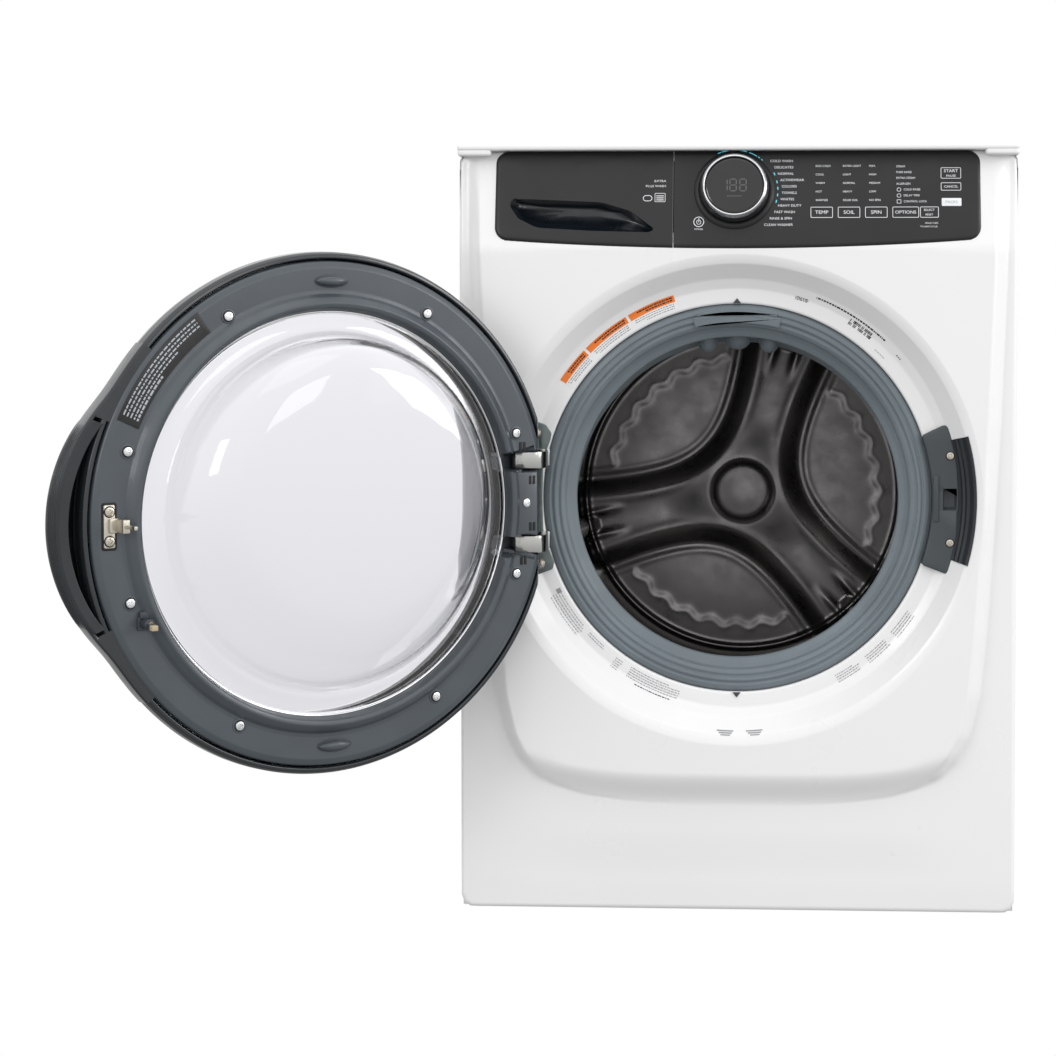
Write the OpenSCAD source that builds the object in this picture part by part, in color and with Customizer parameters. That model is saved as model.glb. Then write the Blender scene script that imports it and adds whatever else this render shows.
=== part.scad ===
// Front load washing machine, door open. Millimetres.
// X right, Y to the back, Z up; the front faces -Y.
// Origin: on the floor, at the middle of the four levelling feet.

/* [Cabinet] */
// Overall width of the cabinet
body_w = 686; // [600:1:760]
// Height of the top surface above the floor
body_h = 965; // [840:1:1050]
// Front edge of the side panels, as Y
side_front = -360; // [-400:1:-300]
// Back edge of the side panels, as Y
side_back = 360; // [300:1:420]
// Sheet metal thickness
sheet = 1.2; // [0.8:0.1:2]
// Front face border, as Y
border_y = -378; // [-390:1:-370]
// Raised front plateau, as Y
plateau_y = -400; // [-420:1:-385]
// Top of the front panel
front_top = 951; // [930:1:955]

/* [Feet] */
// Foot spacing across
foot_sx = 570; // [480:1:620]
// Foot spacing front to back
foot_sy = 540; // [480:1:620]
// Foot pad radius
foot_r = 20; // [14:1:26]
// Levelling stem radius
stem_r = 6; // [4:0.5:8]

/* [Door opening] */
// Height of the door axis
door_z = 530; // [480:1:560]
// Radius of the recess at the plateau
recess_r = 297; // [280:1:310]
// Radius of the opening in the front panel
throat_r = 240; // [220:1:250]
// Recess floor, as Y
floor_y = -368; // [-376:1:-360]

/* [Door] */
// Outer radius of the door ring
door_r = 300; // [285:1:310]
// Front face of the door when closed, as Y
door_front = -449; // [-460:1:-440]
// Hinge axis, as X
pin_x = -264; // [-285:1:-250]
// Hinge axis, as Y
pin_y = -424; // [-435:1:-410]
// Angle the door stands open at rest
door_open = 142; // [90:1:150]
// Radius of the glass bezel
bezel_r = 232; // [215:1:240]
// Radius of the bowl at its rim
bowl_r = 200; // [180:1:215]
// Depth the bowl reaches behind its bezel
bowl_depth = 74; // [50:1:110]
// Handle bulge beyond the ring
handle_out = 28; // [15:1:36]

/* [Drum] */
// Tilt of the drum axis, rear end lower, degrees
drum_tilt = 3; // [0:0.5:10]
// Inner radius of the drum
drum_r = 275; // [240:1:285]
// Drum wall thickness
drum_t = 1.5; // [0.6:0.1:2]
// Front of the drum along its axis
drum_y0 = 96; // [80:1:120]
// Back of the drum along its axis
drum_y1 = 540; // [420:1:560]
// Radius of the drum mouth
mouth_r = 214; // [190:1:225]
// Tub outer radius
tub_r = 304; // [296:1:318]
// Drum shaft radius
shaft_r = 12.5; // [10:0.5:18]
// Running clearance of turning pins and shafts
run_gap = 0.05; // [0.02:0.01:0.1]
// Drum pulley pitch radius
pulley_r = 150; // [120:1:160]
// Motor pulley pitch radius
pinion_r = 11; // [8:0.5:16]
// Motor axis below the drum axis
motor_drop = 388; // [360:1:395]

/* [Console] */
// Slope of the console face, degrees
slope = 13.6; // [8:0.1:20]
// Left end of the detergent drawer front
drawer_x0 = -298; // [-310:1:-280]
// Right end of the detergent drawer front
drawer_x1 = -79; // [-110:1:-60]
// Dial centre across
dial_x = -3; // [-60:1:60]
// Dial centre up the console face
dial_s = 76; // [60:1:90]
// Dial ring outer radius
dial_r = 41; // [30:1:50]

/* [Hidden] */
$fn = 96;
hw = body_w / 2;
side_h = front_top;
e = 0.01;

// ---------------------------------------------------------------- helpers
module lathe_y(p) { rotate([-90, 0, 0]) rotate_extrude() polygon(p); }
module cyl_y(r, y0, y1) { translate([0, y0, 0]) rotate([-90, 0, 0]) cylinder(r = r, h = y1 - y0); }
module cyl_x(r, x0, x1) { translate([x0, 0, 0]) rotate([0, 90, 0]) cylinder(r = r, h = x1 - x0); }
module tube_y(r1, r0, y0, y1) { difference() { cyl_y(r1, y0, y1); cyl_y(r0, y0 - 1, y1 + 1); } }
module box(a, b) { translate(a) cube([b[0] - a[0], b[1] - a[1], b[2] - a[2]]); }
// outline in front view (x, z) pushed back from y0 to y1
module front_ext(y0, y1) { translate([0, y1, 0]) rotate([90, 0, 0]) linear_extrude(y1 - y0) children(); }
// outline in side view (y, z) pushed from x0 to x1
module side_ext(x0, x1) {
    translate([x0, 0, 0]) rotate([90, 0, 90]) linear_extrude(x1 - x0) children();
}
module round_rect(x0, z0, x1, z1, r) {
    translate([x0 + r, z0]) square([x1 - x0 - 2 * r, z1 - z0]);
    translate([x0, z0 + r]) square([x1 - x0, z1 - z0 - 2 * r]);
    for (x = [x0 + r, x1 - r], z = [z0 + r, z1 - r]) translate([x, z]) circle(r);
}
module at_door() { translate([0, 0, door_z]) children(); }
module at_drum() { translate([0, -330, 522]) rotate([-drum_tilt, 0, 0]) children(); }
module at_console() { translate([0, plateau_y, 835]) rotate([-slope, 0, 0]) children(); }
module at_dial() { at_console() translate([dial_x, 0, dial_s]) children(); }
// the door is drawn closed and turned open about the hinge axis
module opened() {
    translate([pin_x, pin_y, 0]) rotate([0, 0, -door_open]) translate([-pin_x, -pin_y, 0]) children();
}
module screw_y(x, z, y, r, l) {
    translate([x, y, z]) { cyl_y(r, -2.4, 0); cyl_y(r * 0.45, -e, l); }
}
module screw_up_y(x, z, y, r, l) {
    translate([x, y, z]) { cyl_y(r, 0, 2.4); cyl_y(r * 0.45, -l, e); }
}

// ---------------------------------------------------------------- cabinet
module base_pan() color("#9a9da0") {
    difference() {
        union() {
            box([sheet - hw, side_front + sheet, 18], [hw - sheet, side_back - 2 * sheet, 21]);
            for (s = [-1, 1]) box([s * (hw - 5) - 3.8, side_front + sheet, 18],
                [s * (hw - 5) + 3.8, side_back - 2 * sheet, 58]);
            box([-hw + 8, side_front + sheet, 18], [hw - 8, side_front + 5, 50]);
            box([-hw + 8, side_back - 6, 18], [hw - 8, side_back - 2 * sheet, 50]);
            for (x = [-1, 1], y = [-1, 1])
                translate([x * foot_sx / 2, y * foot_sy / 2, 18]) cylinder(r = 25, h = 16);
            for (x = [-1, 1]) translate([x * 150, 20, 18]) cylinder(r = 26, h = 12);
        }
        for (x = [-1, 1], y = [-1, 1])
            translate([x * foot_sx / 2, y * foot_sy / 2, 10]) cylinder(r = stem_r + 0.2, h = 60);
    }
}
module leveling_feet() color("#2b2c2e")
    for (x = [-1, 1], y = [-1, 1]) translate([x * foot_sx / 2, y * foot_sy / 2, 0]) {
        cylinder(r = foot_r, h = 6);
        translate([0, 0, 6]) cylinder(r1 = foot_r, r2 = 11, h = 4);
        cylinder(r = stem_r, h = 46);
    }
module foot_lock_nuts() color("#b9bcc0")
    for (x = [-1, 1], y = [-1, 1]) translate([x * foot_sx / 2, y * foot_sy / 2, 12]) difference() {
        cylinder(r = 11, h = 6, $fn = 6);
        translate([0, 0, -1]) cylinder(r = stem_r, h = 8);
    }
module side_panel() {
    a = hw - sheet;
    difference() {
        union() {
            box([a, side_front, 18], [hw, side_back, side_h]);
            box([hw - 14, side_front, 18], [hw, side_front + sheet, side_h]);
            box([hw - 14, side_back - 2 * sheet, 18], [hw, side_back - sheet, side_h]);
            box([hw - 14, side_front, side_h - sheet], [hw, side_back, side_h]);
        }
    }
}
module left_side_panel() color("#f4f5f6") mirror([1, 0, 0]) side_panel();
module right_side_panel() color("#f4f5f6") side_panel();
module rear_panel() color("#e8eaec") difference() {
    union() {
        box([-hw + 2, side_back - sheet, 22], [hw - 2, side_back, side_h - sheet]);
    }
    for (a = [0:60:300]) translate([160 * cos(a), 0, 470 + 160 * sin(a)]) cyl_y(1.8, side_back - 9, side_back + 9);
    for (x = [-66, 66]) translate([x, 0, 95]) cyl_y(1.8, side_back - 9, side_back + 9);
    translate([0, 0, 470]) cyl_y(150, side_back - 9, side_back + 9);
    box([-60, side_back - 9, 60], [60, side_back + 9, 130]);
    for (x = [-150, 150], z = [230, 700]) translate([x, 0, z]) cyl_y(12, side_back - 9, side_back + 9);
    for (x = [-250, -150]) translate([x, 0, 900]) cyl_y(15, side_back - 9, side_back + 9);
    translate([-250, 0, 840]) cyl_y(16, side_back - 9, side_back + 9);
    translate([250, 0, 880]) cyl_y(9, side_back - 9, side_back + 9);
}
module rear_access_cover() color("#e2e4e7") difference() {
    union() {
        translate([0, 0, 470]) cyl_y(168, side_back, side_back + 1.5);
        translate([0, 0, 470]) tube_y(120, 112, side_back + 1.4, side_back + 5);
        box([-72, side_back, 52], [72, side_back + 1.5, 138]);
    }
    for (a = [0:60:300]) translate([160 * cos(a), 0, 470 + 160 * sin(a)]) cyl_y(1.8, side_back - 9, side_back + 9);
    for (x = [-66, 66]) translate([x, 0, 95]) cyl_y(1.8, side_back - 9, side_back + 9);
}
module cabinet_screws() color("#d5d8db") {
    for (q = [[-250, 80], [-246, -84]]) screw_y(q[0], door_z + q[1], floor_y - 3, 5, 10);
    for (z = [57, -50]) screw_y(255, door_z + z, floor_y - 3, 5, 12);
    for (a = [0:60:300]) screw_up_y(160 * cos(a), 470 + 160 * sin(a), side_back + 1.5, 4, 12);
    for (x = [-66, 66]) screw_up_y(x, 95, side_back + 1.5, 4, 12);
}
module transit_plugs() color("#d8dadd")
    for (x = [-150, 150], z = [230, 700]) translate([x, 0, z]) {
        cyl_y(12, side_back - 6, side_back);
        cyl_y(17, side_back, side_back + 5);
    }
module top_panel() color("#f6f7f8") difference() {
    union() {
        front_ext(-392, side_back + 2) round_rect(-hw, front_top, hw, body_h, 6);
        translate([0, -384, (front_top + body_h) / 2]) cyl_x(7, -hw + 4, hw - 4);
    }
    box([-hw + 2, -372, front_top - 1], [hw - 2, side_back - 1, body_h - 2]);
    box([-hw - 1, -420, front_top - 14], [hw + 1, side_back + 9, front_top]);
    box([-302, -400, front_top - 1], [302, -360, 957.5]);
}
module top_brace() color("#b7babd") {
    for (y = [-60, 200]) box([-hw + 3, y, 915], [hw - 3, y + 40, 917]);
    for (s = [-1, 1]) box([s * (hw - 4) - 1.5, -120, 880], [s * (hw - 4) + 1.5, 240, 949]);
}
// raised field of the front, as a function of height
function shield(i, g) = [for (p = [[266.5, 949], [260.5, 800], [253, 600], [247, 480], [239, 330],
    [229, 232], [213, 192], [165, 160], [90, 152]]) [i * (p[0] * 1.22 - g), p[1] + (p[1] > 900 ? g : 0)]];
module shield2d(g) {
    a = shield(1, g);
    b = shield(-1, g);
    n = len(a);
    polygon(concat([for (q = a) [q[0], q[1] + (q[1] < 300 ? g : 0)]],
        [for (j = [n - 1:-1:0]) [b[j][0], b[j][1] + (b[j][1] < 300 ? g : 0)]]));
}
module front_mass(t) {
    intersection() {
        front_ext(-420, side_front) round_rect(-hw + t, 18 + t, hw - t, front_top - t, 16 - t);
        side_ext(-hw, hw) polygon([[side_front, 10], [border_y + t + 4, 10], [border_y + t, 26],
            [border_y + t, 835], [-366 + t, 952], [side_front, 952]]);
    }
    intersection() {
        front_ext(-420, border_y + 3) shield2d(t);
        side_ext(-hw, hw) polygon([[border_y + 4, 140], [border_y + t, 148 + t], [plateau_y + t, 188 + t],
            [plateau_y + t, 835], [-372 + t, 952], [border_y + 4, 952]]);
    }
}
module front_panel() color("#f7f8f9") {
    difference() {
        front_mass(0);
        translate([0, 2, 0]) front_mass(1.5);
        box([-320, -373, 30], [320, -350, 940]);
        translate([0, 0, door_z]) cyl_y(recess_r + 1, -430, -340);
        box([-301, -430, 836], [301, -340, 958]);
    }
    difference() {
    at_door() lathe_y([[recess_r + 4, -400], [recess_r - 1, -399.4], [292, -396], [270, -371], [262, floor_y],
        [throat_r + 3, floor_y], [throat_r, floor_y + 3], [throat_r, -352], [throat_r + 2, -352],
        [throat_r + 2, floor_y + 4], [throat_r + 4, floor_y + 2], [263, floor_y + 2], [271.6, -369.3],
        [293.6, -394.4], [recess_r + 4, -398]]);
        at_door() for (q = [[-250, 80], [-246, -84], [255, 57], [255, -50]]) translate([q[0], 0, q[1]]) cyl_y(2.6, -390, -350);
        at_door() box([250.5, -380, -12.5], [265, -340, 14.5]);
    }
}
// ---------------------------------------------------------------- console
function fy(a, b) = plateau_y + a * cos(slope) + b * sin(slope);
function fz(a, b) = 835 - a * sin(slope) + b * cos(slope);
module console_carrier() color("#33373b") difference() {
    side_ext(-300, 300) polygon([[fy(7, 6), fz(7, 6)], [fy(7, 6), 836], [side_front, 836], [side_front, 842],
        [fy(12, 9), 842], [fy(12, 122), fz(12, 122)], [fy(7, 122), fz(7, 122)]]);
    box([-294, -420, 848], [-83, -340, 932]);
    at_dial() cyl_y(8, -30, 30);
}
module console_fascia() color("#24272b") at_console() difference() {
    union() {
        translate([dial_x, 0, dial_s]) cyl_y(44, -5, 0);
        translate([dial_x, 0, dial_s]) cyl_y(12, -8, 0);
        front_ext(-3, 7) round_rect(drawer_x1 + 2, 4, 297, 122, 3);
        front_ext(-2, 7) round_rect(drawer_x1 + 2, 12, 297, 122, 14);
    }
    translate([dial_x, 0, dial_s]) cyl_y(5.5, -9, 20);
}
module control_board() color("#1f4d34") at_console() {
    box([-60, 16, 20], [280, 17.6, 110]);
    for (x = [-40, 260], z = [30, 100]) translate([x, 0, z]) cyl_y(4, 12, 16);
    box([150, 17.6, 40], [200, 30, 80]);
}
// turning ring of the programme dial
module dial_ring() color("#c9ccd0") at_dial() lathe_y([[35.6, -22], [38, -23], [dial_r, -20], [dial_r, -6],
    [12 + run_gap, -6], [12 + run_gap, -9], [35.6, -9]]);
module dial_display() color("#0c0f12") at_dial() {
    lathe_y([[0, -21], [33, -21], [35.2, -19], [35.2, -10], [0, -10]]);
    cyl_y(5.5, -10.1, 7);
}
module drawer_front() color("#24272b") difference() {
    union() {
        at_console() front_ext(-3, 7) round_rect(drawer_x0, 4, drawer_x1, 122, 3);
        at_console() front_ext(7 - e, 26) polygon([[-288, 20], [-92, 20], [-92, 74], [-288, 74]]);
    }
    // finger scoop
    at_console() front_ext(-9, 22) polygon([[-276, 65], [-165, 61], [-132, 49], [-100, 27], [-106, 22.5],
        [-180, 24], [-245, 28], [-268, 40], [-278, 56]]);
}
module drawer_tray() color("#e9ebee") difference() {
    union() {
        box([-286, -372, 856], [-94, -166, 926]);
        for (s = [-288, -95]) box([s, -372, 888], [s + 3, -166, 892]);
    }
    box([-283, -364, 859], [-196, -169, 930]);
    box([-192, -364, 859], [-97, -230, 930]);
    box([-192, -226, 859], [-97, -169, 930]);
    at_console() box([-310, -60, -20], [310, 26, 140]);
}
module siphon_insert() color("#3f6fb0") {
    box([-190, -262, 859], [-99, -258, 918]);
    translate([-145, -290, 859]) cylinder(r = 9, h = 60);
    box([-186, -300, 918], [-103, -232, 922]);
}
module dispenser_housing() color("#d9dcdf") difference() {
    box([-293, -361, 848], [-88, -150, 934]);
    box([-289.5, -370, 851.5], [-91.5, -158, 930]);
    translate([-190, -175, 830]) cylinder(r = 16, h = 40);
}
module hoses() color("#2a2b2d") {
    for (x = [-250, -150]) translate([x, 0, 900]) cyl_y(8, -150, 300);
    difference() {
        translate([170, -250, 120]) cylinder(r = 22, h = 175);
        translate([170, -250, 119]) cylinder(r = 17, h = 180);
        at_drum() cyl_y(tub_r, 0, 600);
    }
    difference() {
        union() {
            translate([-190, -175, 838]) cylinder(r = 20, h = 10);
            translate([-190, -175, 806]) cylinder(r = 22, h = 33);
        }
        translate([-190, -175, 800]) cylinder(r = 16, h = 60);
    }
}
module inlet_valve(x) {
    translate([x, 0, 900]) {
        cyl_y(11, 300, side_back - 1);
        cyl_y(20, side_back - 8, side_back - 1.2);
        cyl_y(15, side_back - 2, side_back);
        cyl_y(13.2, side_back - 2, side_back + 20);
        box([-16, 306, -14], [16, 336, 30]);
    }
}
module inlet_valves() color("#4f5459") for (x = [-250, -150]) difference() {
    inlet_valve(x);
    translate([x, 0, 900]) cyl_y(9.5, side_back - 8, side_back + 30);
}
module drain_outlet() color("#55585c") translate([-250, 0, 840]) difference() {
    union() {
        cyl_y(15.9, side_back - 3, side_back + 1);
        cyl_y(22, side_back, side_back + 4);
        cyl_y(14, side_back - 30, side_back + 32);
    }
    cyl_y(11, side_back - 31, side_back + 40);
}
module cord_gland() color("#26282a") translate([250, 0, 880]) difference() {
    union() { cyl_y(8.9, side_back - 8, side_back + 1); cyl_y(13, side_back, side_back + 9); }
    cyl_y(5, side_back - 9, side_back + 12);
}
// ---------------------------------------------------------------- gasket, hinge, latch
module gasket() color("#8e9aa4") {
    at_door() lathe_y([[237, -365], [240, -361], [240, -352], [243, -352], [243, -346], [236, -343],
        [236, -338], [217, -338], [217, -316], [208, -316], [206, -330], [200, -334], [200, -341],
        [209, -346], [212, -357], [222, -360], [226, -366], [232, -368]]);
    at_drum() lathe_y([[224, -12], [226, 10], [229, 14], [229, 24], [214, 30], [212, 44], [229.4, 50],
        [232.8, 56], [232.8, 73], [229.4, 73], [229.4, 59.6], [224, 57.6], [208, 48], [208, 36], [212, 26],
        [222, 20], [222, 12], [216, 2], [216, -12]]);
    // condensate duct block at the top
    at_door() intersection() {
        box([-42, -360, 212], [42, -330, 239]);
        cyl_y(236, -372, -300);
    }
}
module gasket_clamp() color("#a8adb2") at_drum() difference() {
    tube_y(236, 233, 62, 70);
    box([-9, 60, -245], [9, 74, -200]);
}
module hinge_bracket() color("#7f8a8c") {
    y0 = floor_y;
    // plate on the recess floor
    difference() {
        intersection() {
            front_ext(y0 - 3, y0) polygon([[-253, door_z - 90], [-258, door_z - 60], [-258, door_z + 66],
                [-247, door_z + 98], [-226, door_z + 92], [-222, door_z + 60], [-222, door_z - 60], [-224, door_z - 92]]);
            at_door() difference() { cyl_y(262, -400, -300); cyl_y(throat_r + 4, -401, -299); }
        }
        for (q = [[-250, 80], [-246, -84]]) translate([q[0], 0, door_z + q[1]]) cyl_y(2.3, -390, -350);
    }
    // two hooked arms reaching to the hinge axis
    for (z = [40, -62]) translate([pin_x, pin_y, door_z + z]) difference() {
        union() {
            cylinder(r = 8, h = 21);
            linear_extrude(21) polygon([[0, -8], [14, -9], [25, -5], [32, 4], [34, 18], [32, 36], [30, 53],
                [14, 53], [14, 50], [24, 48], [27, 34], [28.5, 18], [27, 7], [21, -0.5], [12, -3.5], [0, -2]]);
        }
        translate([0, 0, -1]) cylinder(r = 3 + run_gap, h = 30);
    }
}
module latch_plate() color("#3c4247") {
    difference() {
        intersection() {
            front_ext(floor_y - 3, floor_y) polygon([[222, door_z + 96], [248, door_z + 96], [262, door_z + 60],
                [264, door_z], [262, door_z - 80], [248, door_z - 96], [222, door_z - 96]]);
            at_door() difference() { cyl_y(266, -400, -300); cyl_y(throat_r + 4, -401, -299); }
        }
        box([251, -380, door_z - 12], [264.5, -350, door_z + 14]);
        at_door() lathe_y([[262, floor_y + 2], [262, floor_y - 0.05], [270, floor_y - 3.05], [280, floor_y - 3.05], [280, floor_y + 2]]);
        for (z = [57, -50]) translate([255, 0, door_z + z]) cyl_y(2.6, -390, -350);
    }
    // ribbed strip lying on the recess wall
    at_door() difference() {
        intersection() {
            lathe_y([[270.3, -371.6], [289.6, -393.6], [286, -396], [268, -375], [268, -371.2]]);
            box([200, -400, -62], [300, -360, 62]);
        }
        for (i = [-6:6]) rotate([0, i * 2, 0]) box([268, -400, -1.4], [284, -378, 1.4]);
    }
}
module door_lock() color("#2d3135") difference() {
    box([246, floor_y + 2, door_z - 44], [284, -336, door_z + 44]);
    box([251, -372, door_z - 12], [264.5, -340, door_z + 14]);
    for (z = [57, -50]) translate([255, 0, door_z + z]) cyl_y(2.3, -372, -350);
}
// ---------------------------------------------------------------- door
module door_outer_ring() color("#2e3033") opened() difference() {
    at_door() union() {
        lathe_y([[232.6, door_front], [270, door_front], [288, door_front + 5], [297, door_front + 14],
            [door_r, door_front + 24], [298, -406], [294, -404], [292, -407], [296, door_front + 24],
            [293, door_front + 16], [285, door_front + 9], [270, door_front + 5], [238, door_front + 5],
            [236, door_front + 12], [232.6, door_front + 12]]);
        // handle bulge
        intersection() {
            front_ext(-441, -408) difference() {
                translate([door_r - 160, 0]) circle(160 + handle_out);
                circle(door_r - 6);
            }
            box([200, -450, -150], [400, -400, 150]);
        }
    }
    // finger pocket
    at_door() intersection() {
        front_ext(-436, -400) difference() {
            translate([door_r - 160, 0]) circle(156 + handle_out);
            circle(290);
        }
        box([200, -450, -118], [400, -390, 118]);
    }
    // clearance for the hinge arms
    for (z = [38, -64]) box([-330, -437, door_z + z], [-227, -380, door_z + z + 25]);
}
module door_window() color([0.8, 0.82, 0.86, 0.35]) opened() at_door()
    lathe_y([[0, door_front - 3], [150, door_front - 2], [232.3, door_front], [232.3, door_front + 3], [0, door_front + 3]]);
module door_inner_frame() color("#4b545b") opened() difference() {
    union() {
        at_door() lathe_y([[bezel_r, -414], [bezel_r, -396], [236, -390], [244, -392], [252, -401], [281, -401],
            [288, -404], [289, -410], [285, -411], [280, -405], [254, -405], [246, -398], [240, -398], [236, -406], [236, -414]]);
        // hinge block
        intersection() {
            box([-300, -436, door_z - 96], [-238, -402, door_z + 92]);
            at_door() tube_y(286, 238, -437, -400);
        }
        // screw posts from the ring
        at_door() for (a = [30, 70, 110, 150, 210, 250, 290, 330]) rotate([0, a, 0]) translate([266, 0, 0])
            cyl_y(6, door_front + 6, -402);
    }
    at_door() for (a = [30, 70, 110, 150, 210, 250, 290, 330]) rotate([0, a, 0]) translate([266, 0, 0])
        cyl_y(2.4, -420, -380);
    for (s = [-1, 1]) translate([0, 0, door_z + s * 271]) cyl_y(3, -409, -390);
    for (s = [-1, 1]) translate([269, 0, door_z + s * 16]) cyl_y(1.8, -412, -390);
    translate([254 * cos(-25), 0, door_z + 254 * sin(-25)]) cyl_y(3.5 + run_gap, -420, -380);
    for (z = [38, -64]) box([-330, -437.5, door_z + z], [-227, -380, door_z + z + 25]);
    for (z = [24, -78]) translate([pin_x, pin_y, door_z + z]) cylinder(r = 3, h = 55);
    box([262.5, -404, door_z - 23.5], [275.5, -380, door_z + 23.5]);
}
module door_glass_bowl() color([0.82, 0.88, 0.9, 0.35]) opened() at_door() difference() {
    union() {
        cyl_y(231, -412, -406);
        translate([0, -408, 0]) rotate([-90, 0, 0]) hull() {
            cylinder(r = bowl_r, h = 2, $fn = 64);
            translate([0, -27, bowl_depth + 6]) cylinder(r = 150, h = 2, $fn = 64);
            translate([0, -22, bowl_depth - 8]) cylinder(r = 166, h = 2, $fn = 64);
        }
    }
    translate([0, -413, 0]) rotate([-90, 0, 0]) hull() {
        cylinder(r = bowl_r - 6, h = 2, $fn = 64);
        translate([0, -27, bowl_depth + 4]) cylinder(r = 144, h = 2, $fn = 64);
        translate([0, -22, bowl_depth - 9]) cylinder(r = 160, h = 2, $fn = 64);
    }
}
module glass_retainer() color("#d6dade") opened() at_door()
    lathe_y([[225, -406], [225, -402], [228, -399.5], [bezel_r, -400], [bezel_r, -406]]);
module door_screws() color("#dfe2e5") opened() {
    for (a = [30, 70, 110, 150, 210, 250, 290, 330])
        translate([266 * cos(a), 0, door_z - 266 * sin(a)]) {
            cyl_y(5.5, -401, -398.6);
            cyl_y(2.4, -420, -400.9);
        }
    for (s = [-1, 1]) translate([269, 0, door_z + s * 16]) { cyl_y(4, -400, -398); cyl_y(1.8, -409, -400); }
}
module door_strike() color("#b7bdc2") opened() difference() {
    union() {
        box([262.5, -404, door_z - 23.5], [275.5, -400, door_z + 23.5]);
        box([254, -401, door_z - 7], [262.6, -398, door_z + 9]);
        box([254, -401, door_z - 7], [257.5, -356, door_z + 9]);
        box([254, -366, door_z - 7], [262.5, -356, door_z + 9]);
    }
    box([257.5, -363, door_z - 8], [265, -360, door_z + 10]);
    for (s = [-1, 1]) translate([269, 0, door_z + s * 16]) cyl_y(1.8, -412, -390);
}
module hinge_pins() color("#c2c6ca") opened()
    for (z = [24, -78]) translate([pin_x, pin_y, door_z + z]) cylinder(r = 3, h = 53);
module door_bumpers() color("#8d959c") opened()
    for (s = [-1, 1]) translate([0, 0, door_z + s * 271]) {
        intersection() { cyl_y(20, -401, -393); box([-20, -402, -6], [20, -392, 6]); }
        cyl_y(3, -409, -400.9);
    }
module handle_grip() color("#24282b") opened() at_door() {
    difference() {
        intersection() {
            front_ext(-408, -404) difference() {
                translate([door_r - 160, 0]) circle(160 + handle_out);
                translate([door_r - 160, 0]) circle(142 + handle_out);
            }
            box([290, -410, -112], [400, -400, 112]);
        }
        cyl_y(291, -420, -390);
    }
}
module vent_plunger() color("#d9cfae") opened()
    translate([254 * cos(-25), 0, door_z + 254 * sin(-25)]) {
        cyl_y(3.5, -408, -386);
        cyl_y(5, -408, -405.1);
        cyl_y(4.5, -390, -386);
    }
// ---------------------------------------------------------------- tub group
module tub_front() color("#dfe2e4") at_drum() lathe_y([[226, 60], [229, 60], [229, 74], [290, 74],
    [tub_r, 84], [tub_r, 296], [318, 296], [318, 303], [tub_r - 4, 303], [tub_r - 4, 88], [288, 78], [226, 78]]);
module tub_rear() color("#dfe2e4") difference() {
    at_drum() difference() {
        union() {
            lathe_y([[318, 303], [318, 310], [tub_r, 310], [tub_r, 574], [296, 584], [60, 584], [50, 604],
                [shaft_r + 20, 604], [shaft_r + 20, 566], [44, 566], [56, 576], [292, 577], [tub_r - 4, 570],
                [tub_r - 4, 303]]);
            for (a = [0:45:315]) rotate([0, a, 0]) box([55, 583, -3], [290, 592, 3]);
            for (s = [-1, 1]) box([s * 296 - 20, 320, 120], [s * 296 + 20, 360, 150]);
            box([-60, 480, -326], [60, 560, 8 - tub_r]);
            for (s = [-1, 1]) box([s * 150 - 24, 345, 10 - tub_r], [s * 150 + 24, 392, 60 - tub_r]);
        }
        cyl_y(tub_r - 4, 303, 570);
    }
    for (s = [-1, 1]) translate([s * 150, 20, 190]) cylinder(r = 13, h = 24);
    for (s = [-1, 1]) translate([s * 312, 24, 600]) cylinder(r = 3, h = 80);
}
module tub_screws() color("#b9bdc1") at_drum()
    for (a = [10:20:350]) rotate([0, a, 0]) translate([312, 0, 0]) { cyl_y(4.5, 310, 314); cyl_y(4.5, 292, 296); }
module counterweights() color("#8b8d8f") at_drum() {
    difference() {
        lathe_y([[244, 30], [296, 30], [300, 34], [300, 70], [290, 74], [240, 74], [240, 34]]);
        for (s = [-1, 1]) box([s * 290 - 60, 20, -30], [s * 290 + 60, 90, 30]);
    }
    difference() {
        box([-130, 320, 250], [130, 450, 348]);
        cyl_y(tub_r, 0, 600);
    }
}
module bearings() color("#a9adb2") at_drum() {
    tube_y(shaft_r + 20, shaft_r + run_gap, 572, 586);
    tube_y(shaft_r + 20, shaft_r + run_gap, 590, 603);
}
module shaft_seal() color("#202224") at_drum() tube_y(shaft_r + 20, shaft_r + run_gap, 566, 571.5);
module motor() color("#6c7176") at_drum() translate([0, 0, -motor_drop]) {
    difference() {
        union() {
            cyl_y(58, 430, 570);
            cyl_y(50, 420, 584);
            box([-50, 485, 50], [50, 555, motor_drop - 326]);
            cyl_y(14, 584, 596);
        }
        cyl_y(7 + run_gap, 590, 620);
        cyl_y(9, 560, 591);
    }
}
module damper_rods() color("#c5c9cc") for (s = [-1, 1]) translate([s * 150, 20, 0]) {
    translate([0, 0, 90]) cylinder(r = 6, h = 120);
    translate([0, 0, 204]) cylinder(r = 13, h = 10);
    translate([0, 0, 86]) cylinder(r = 10.9, h = 8);
}
module damper_cylinders() color("#34383b") for (s = [-1, 1]) translate([s * 150, 20, 30]) difference() {
    union() { cylinder(r = 15, h = 120); cylinder(r = 20, h = 6); }
    translate([0, 0, 6]) cylinder(r = 11, h = 130);
}
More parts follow.
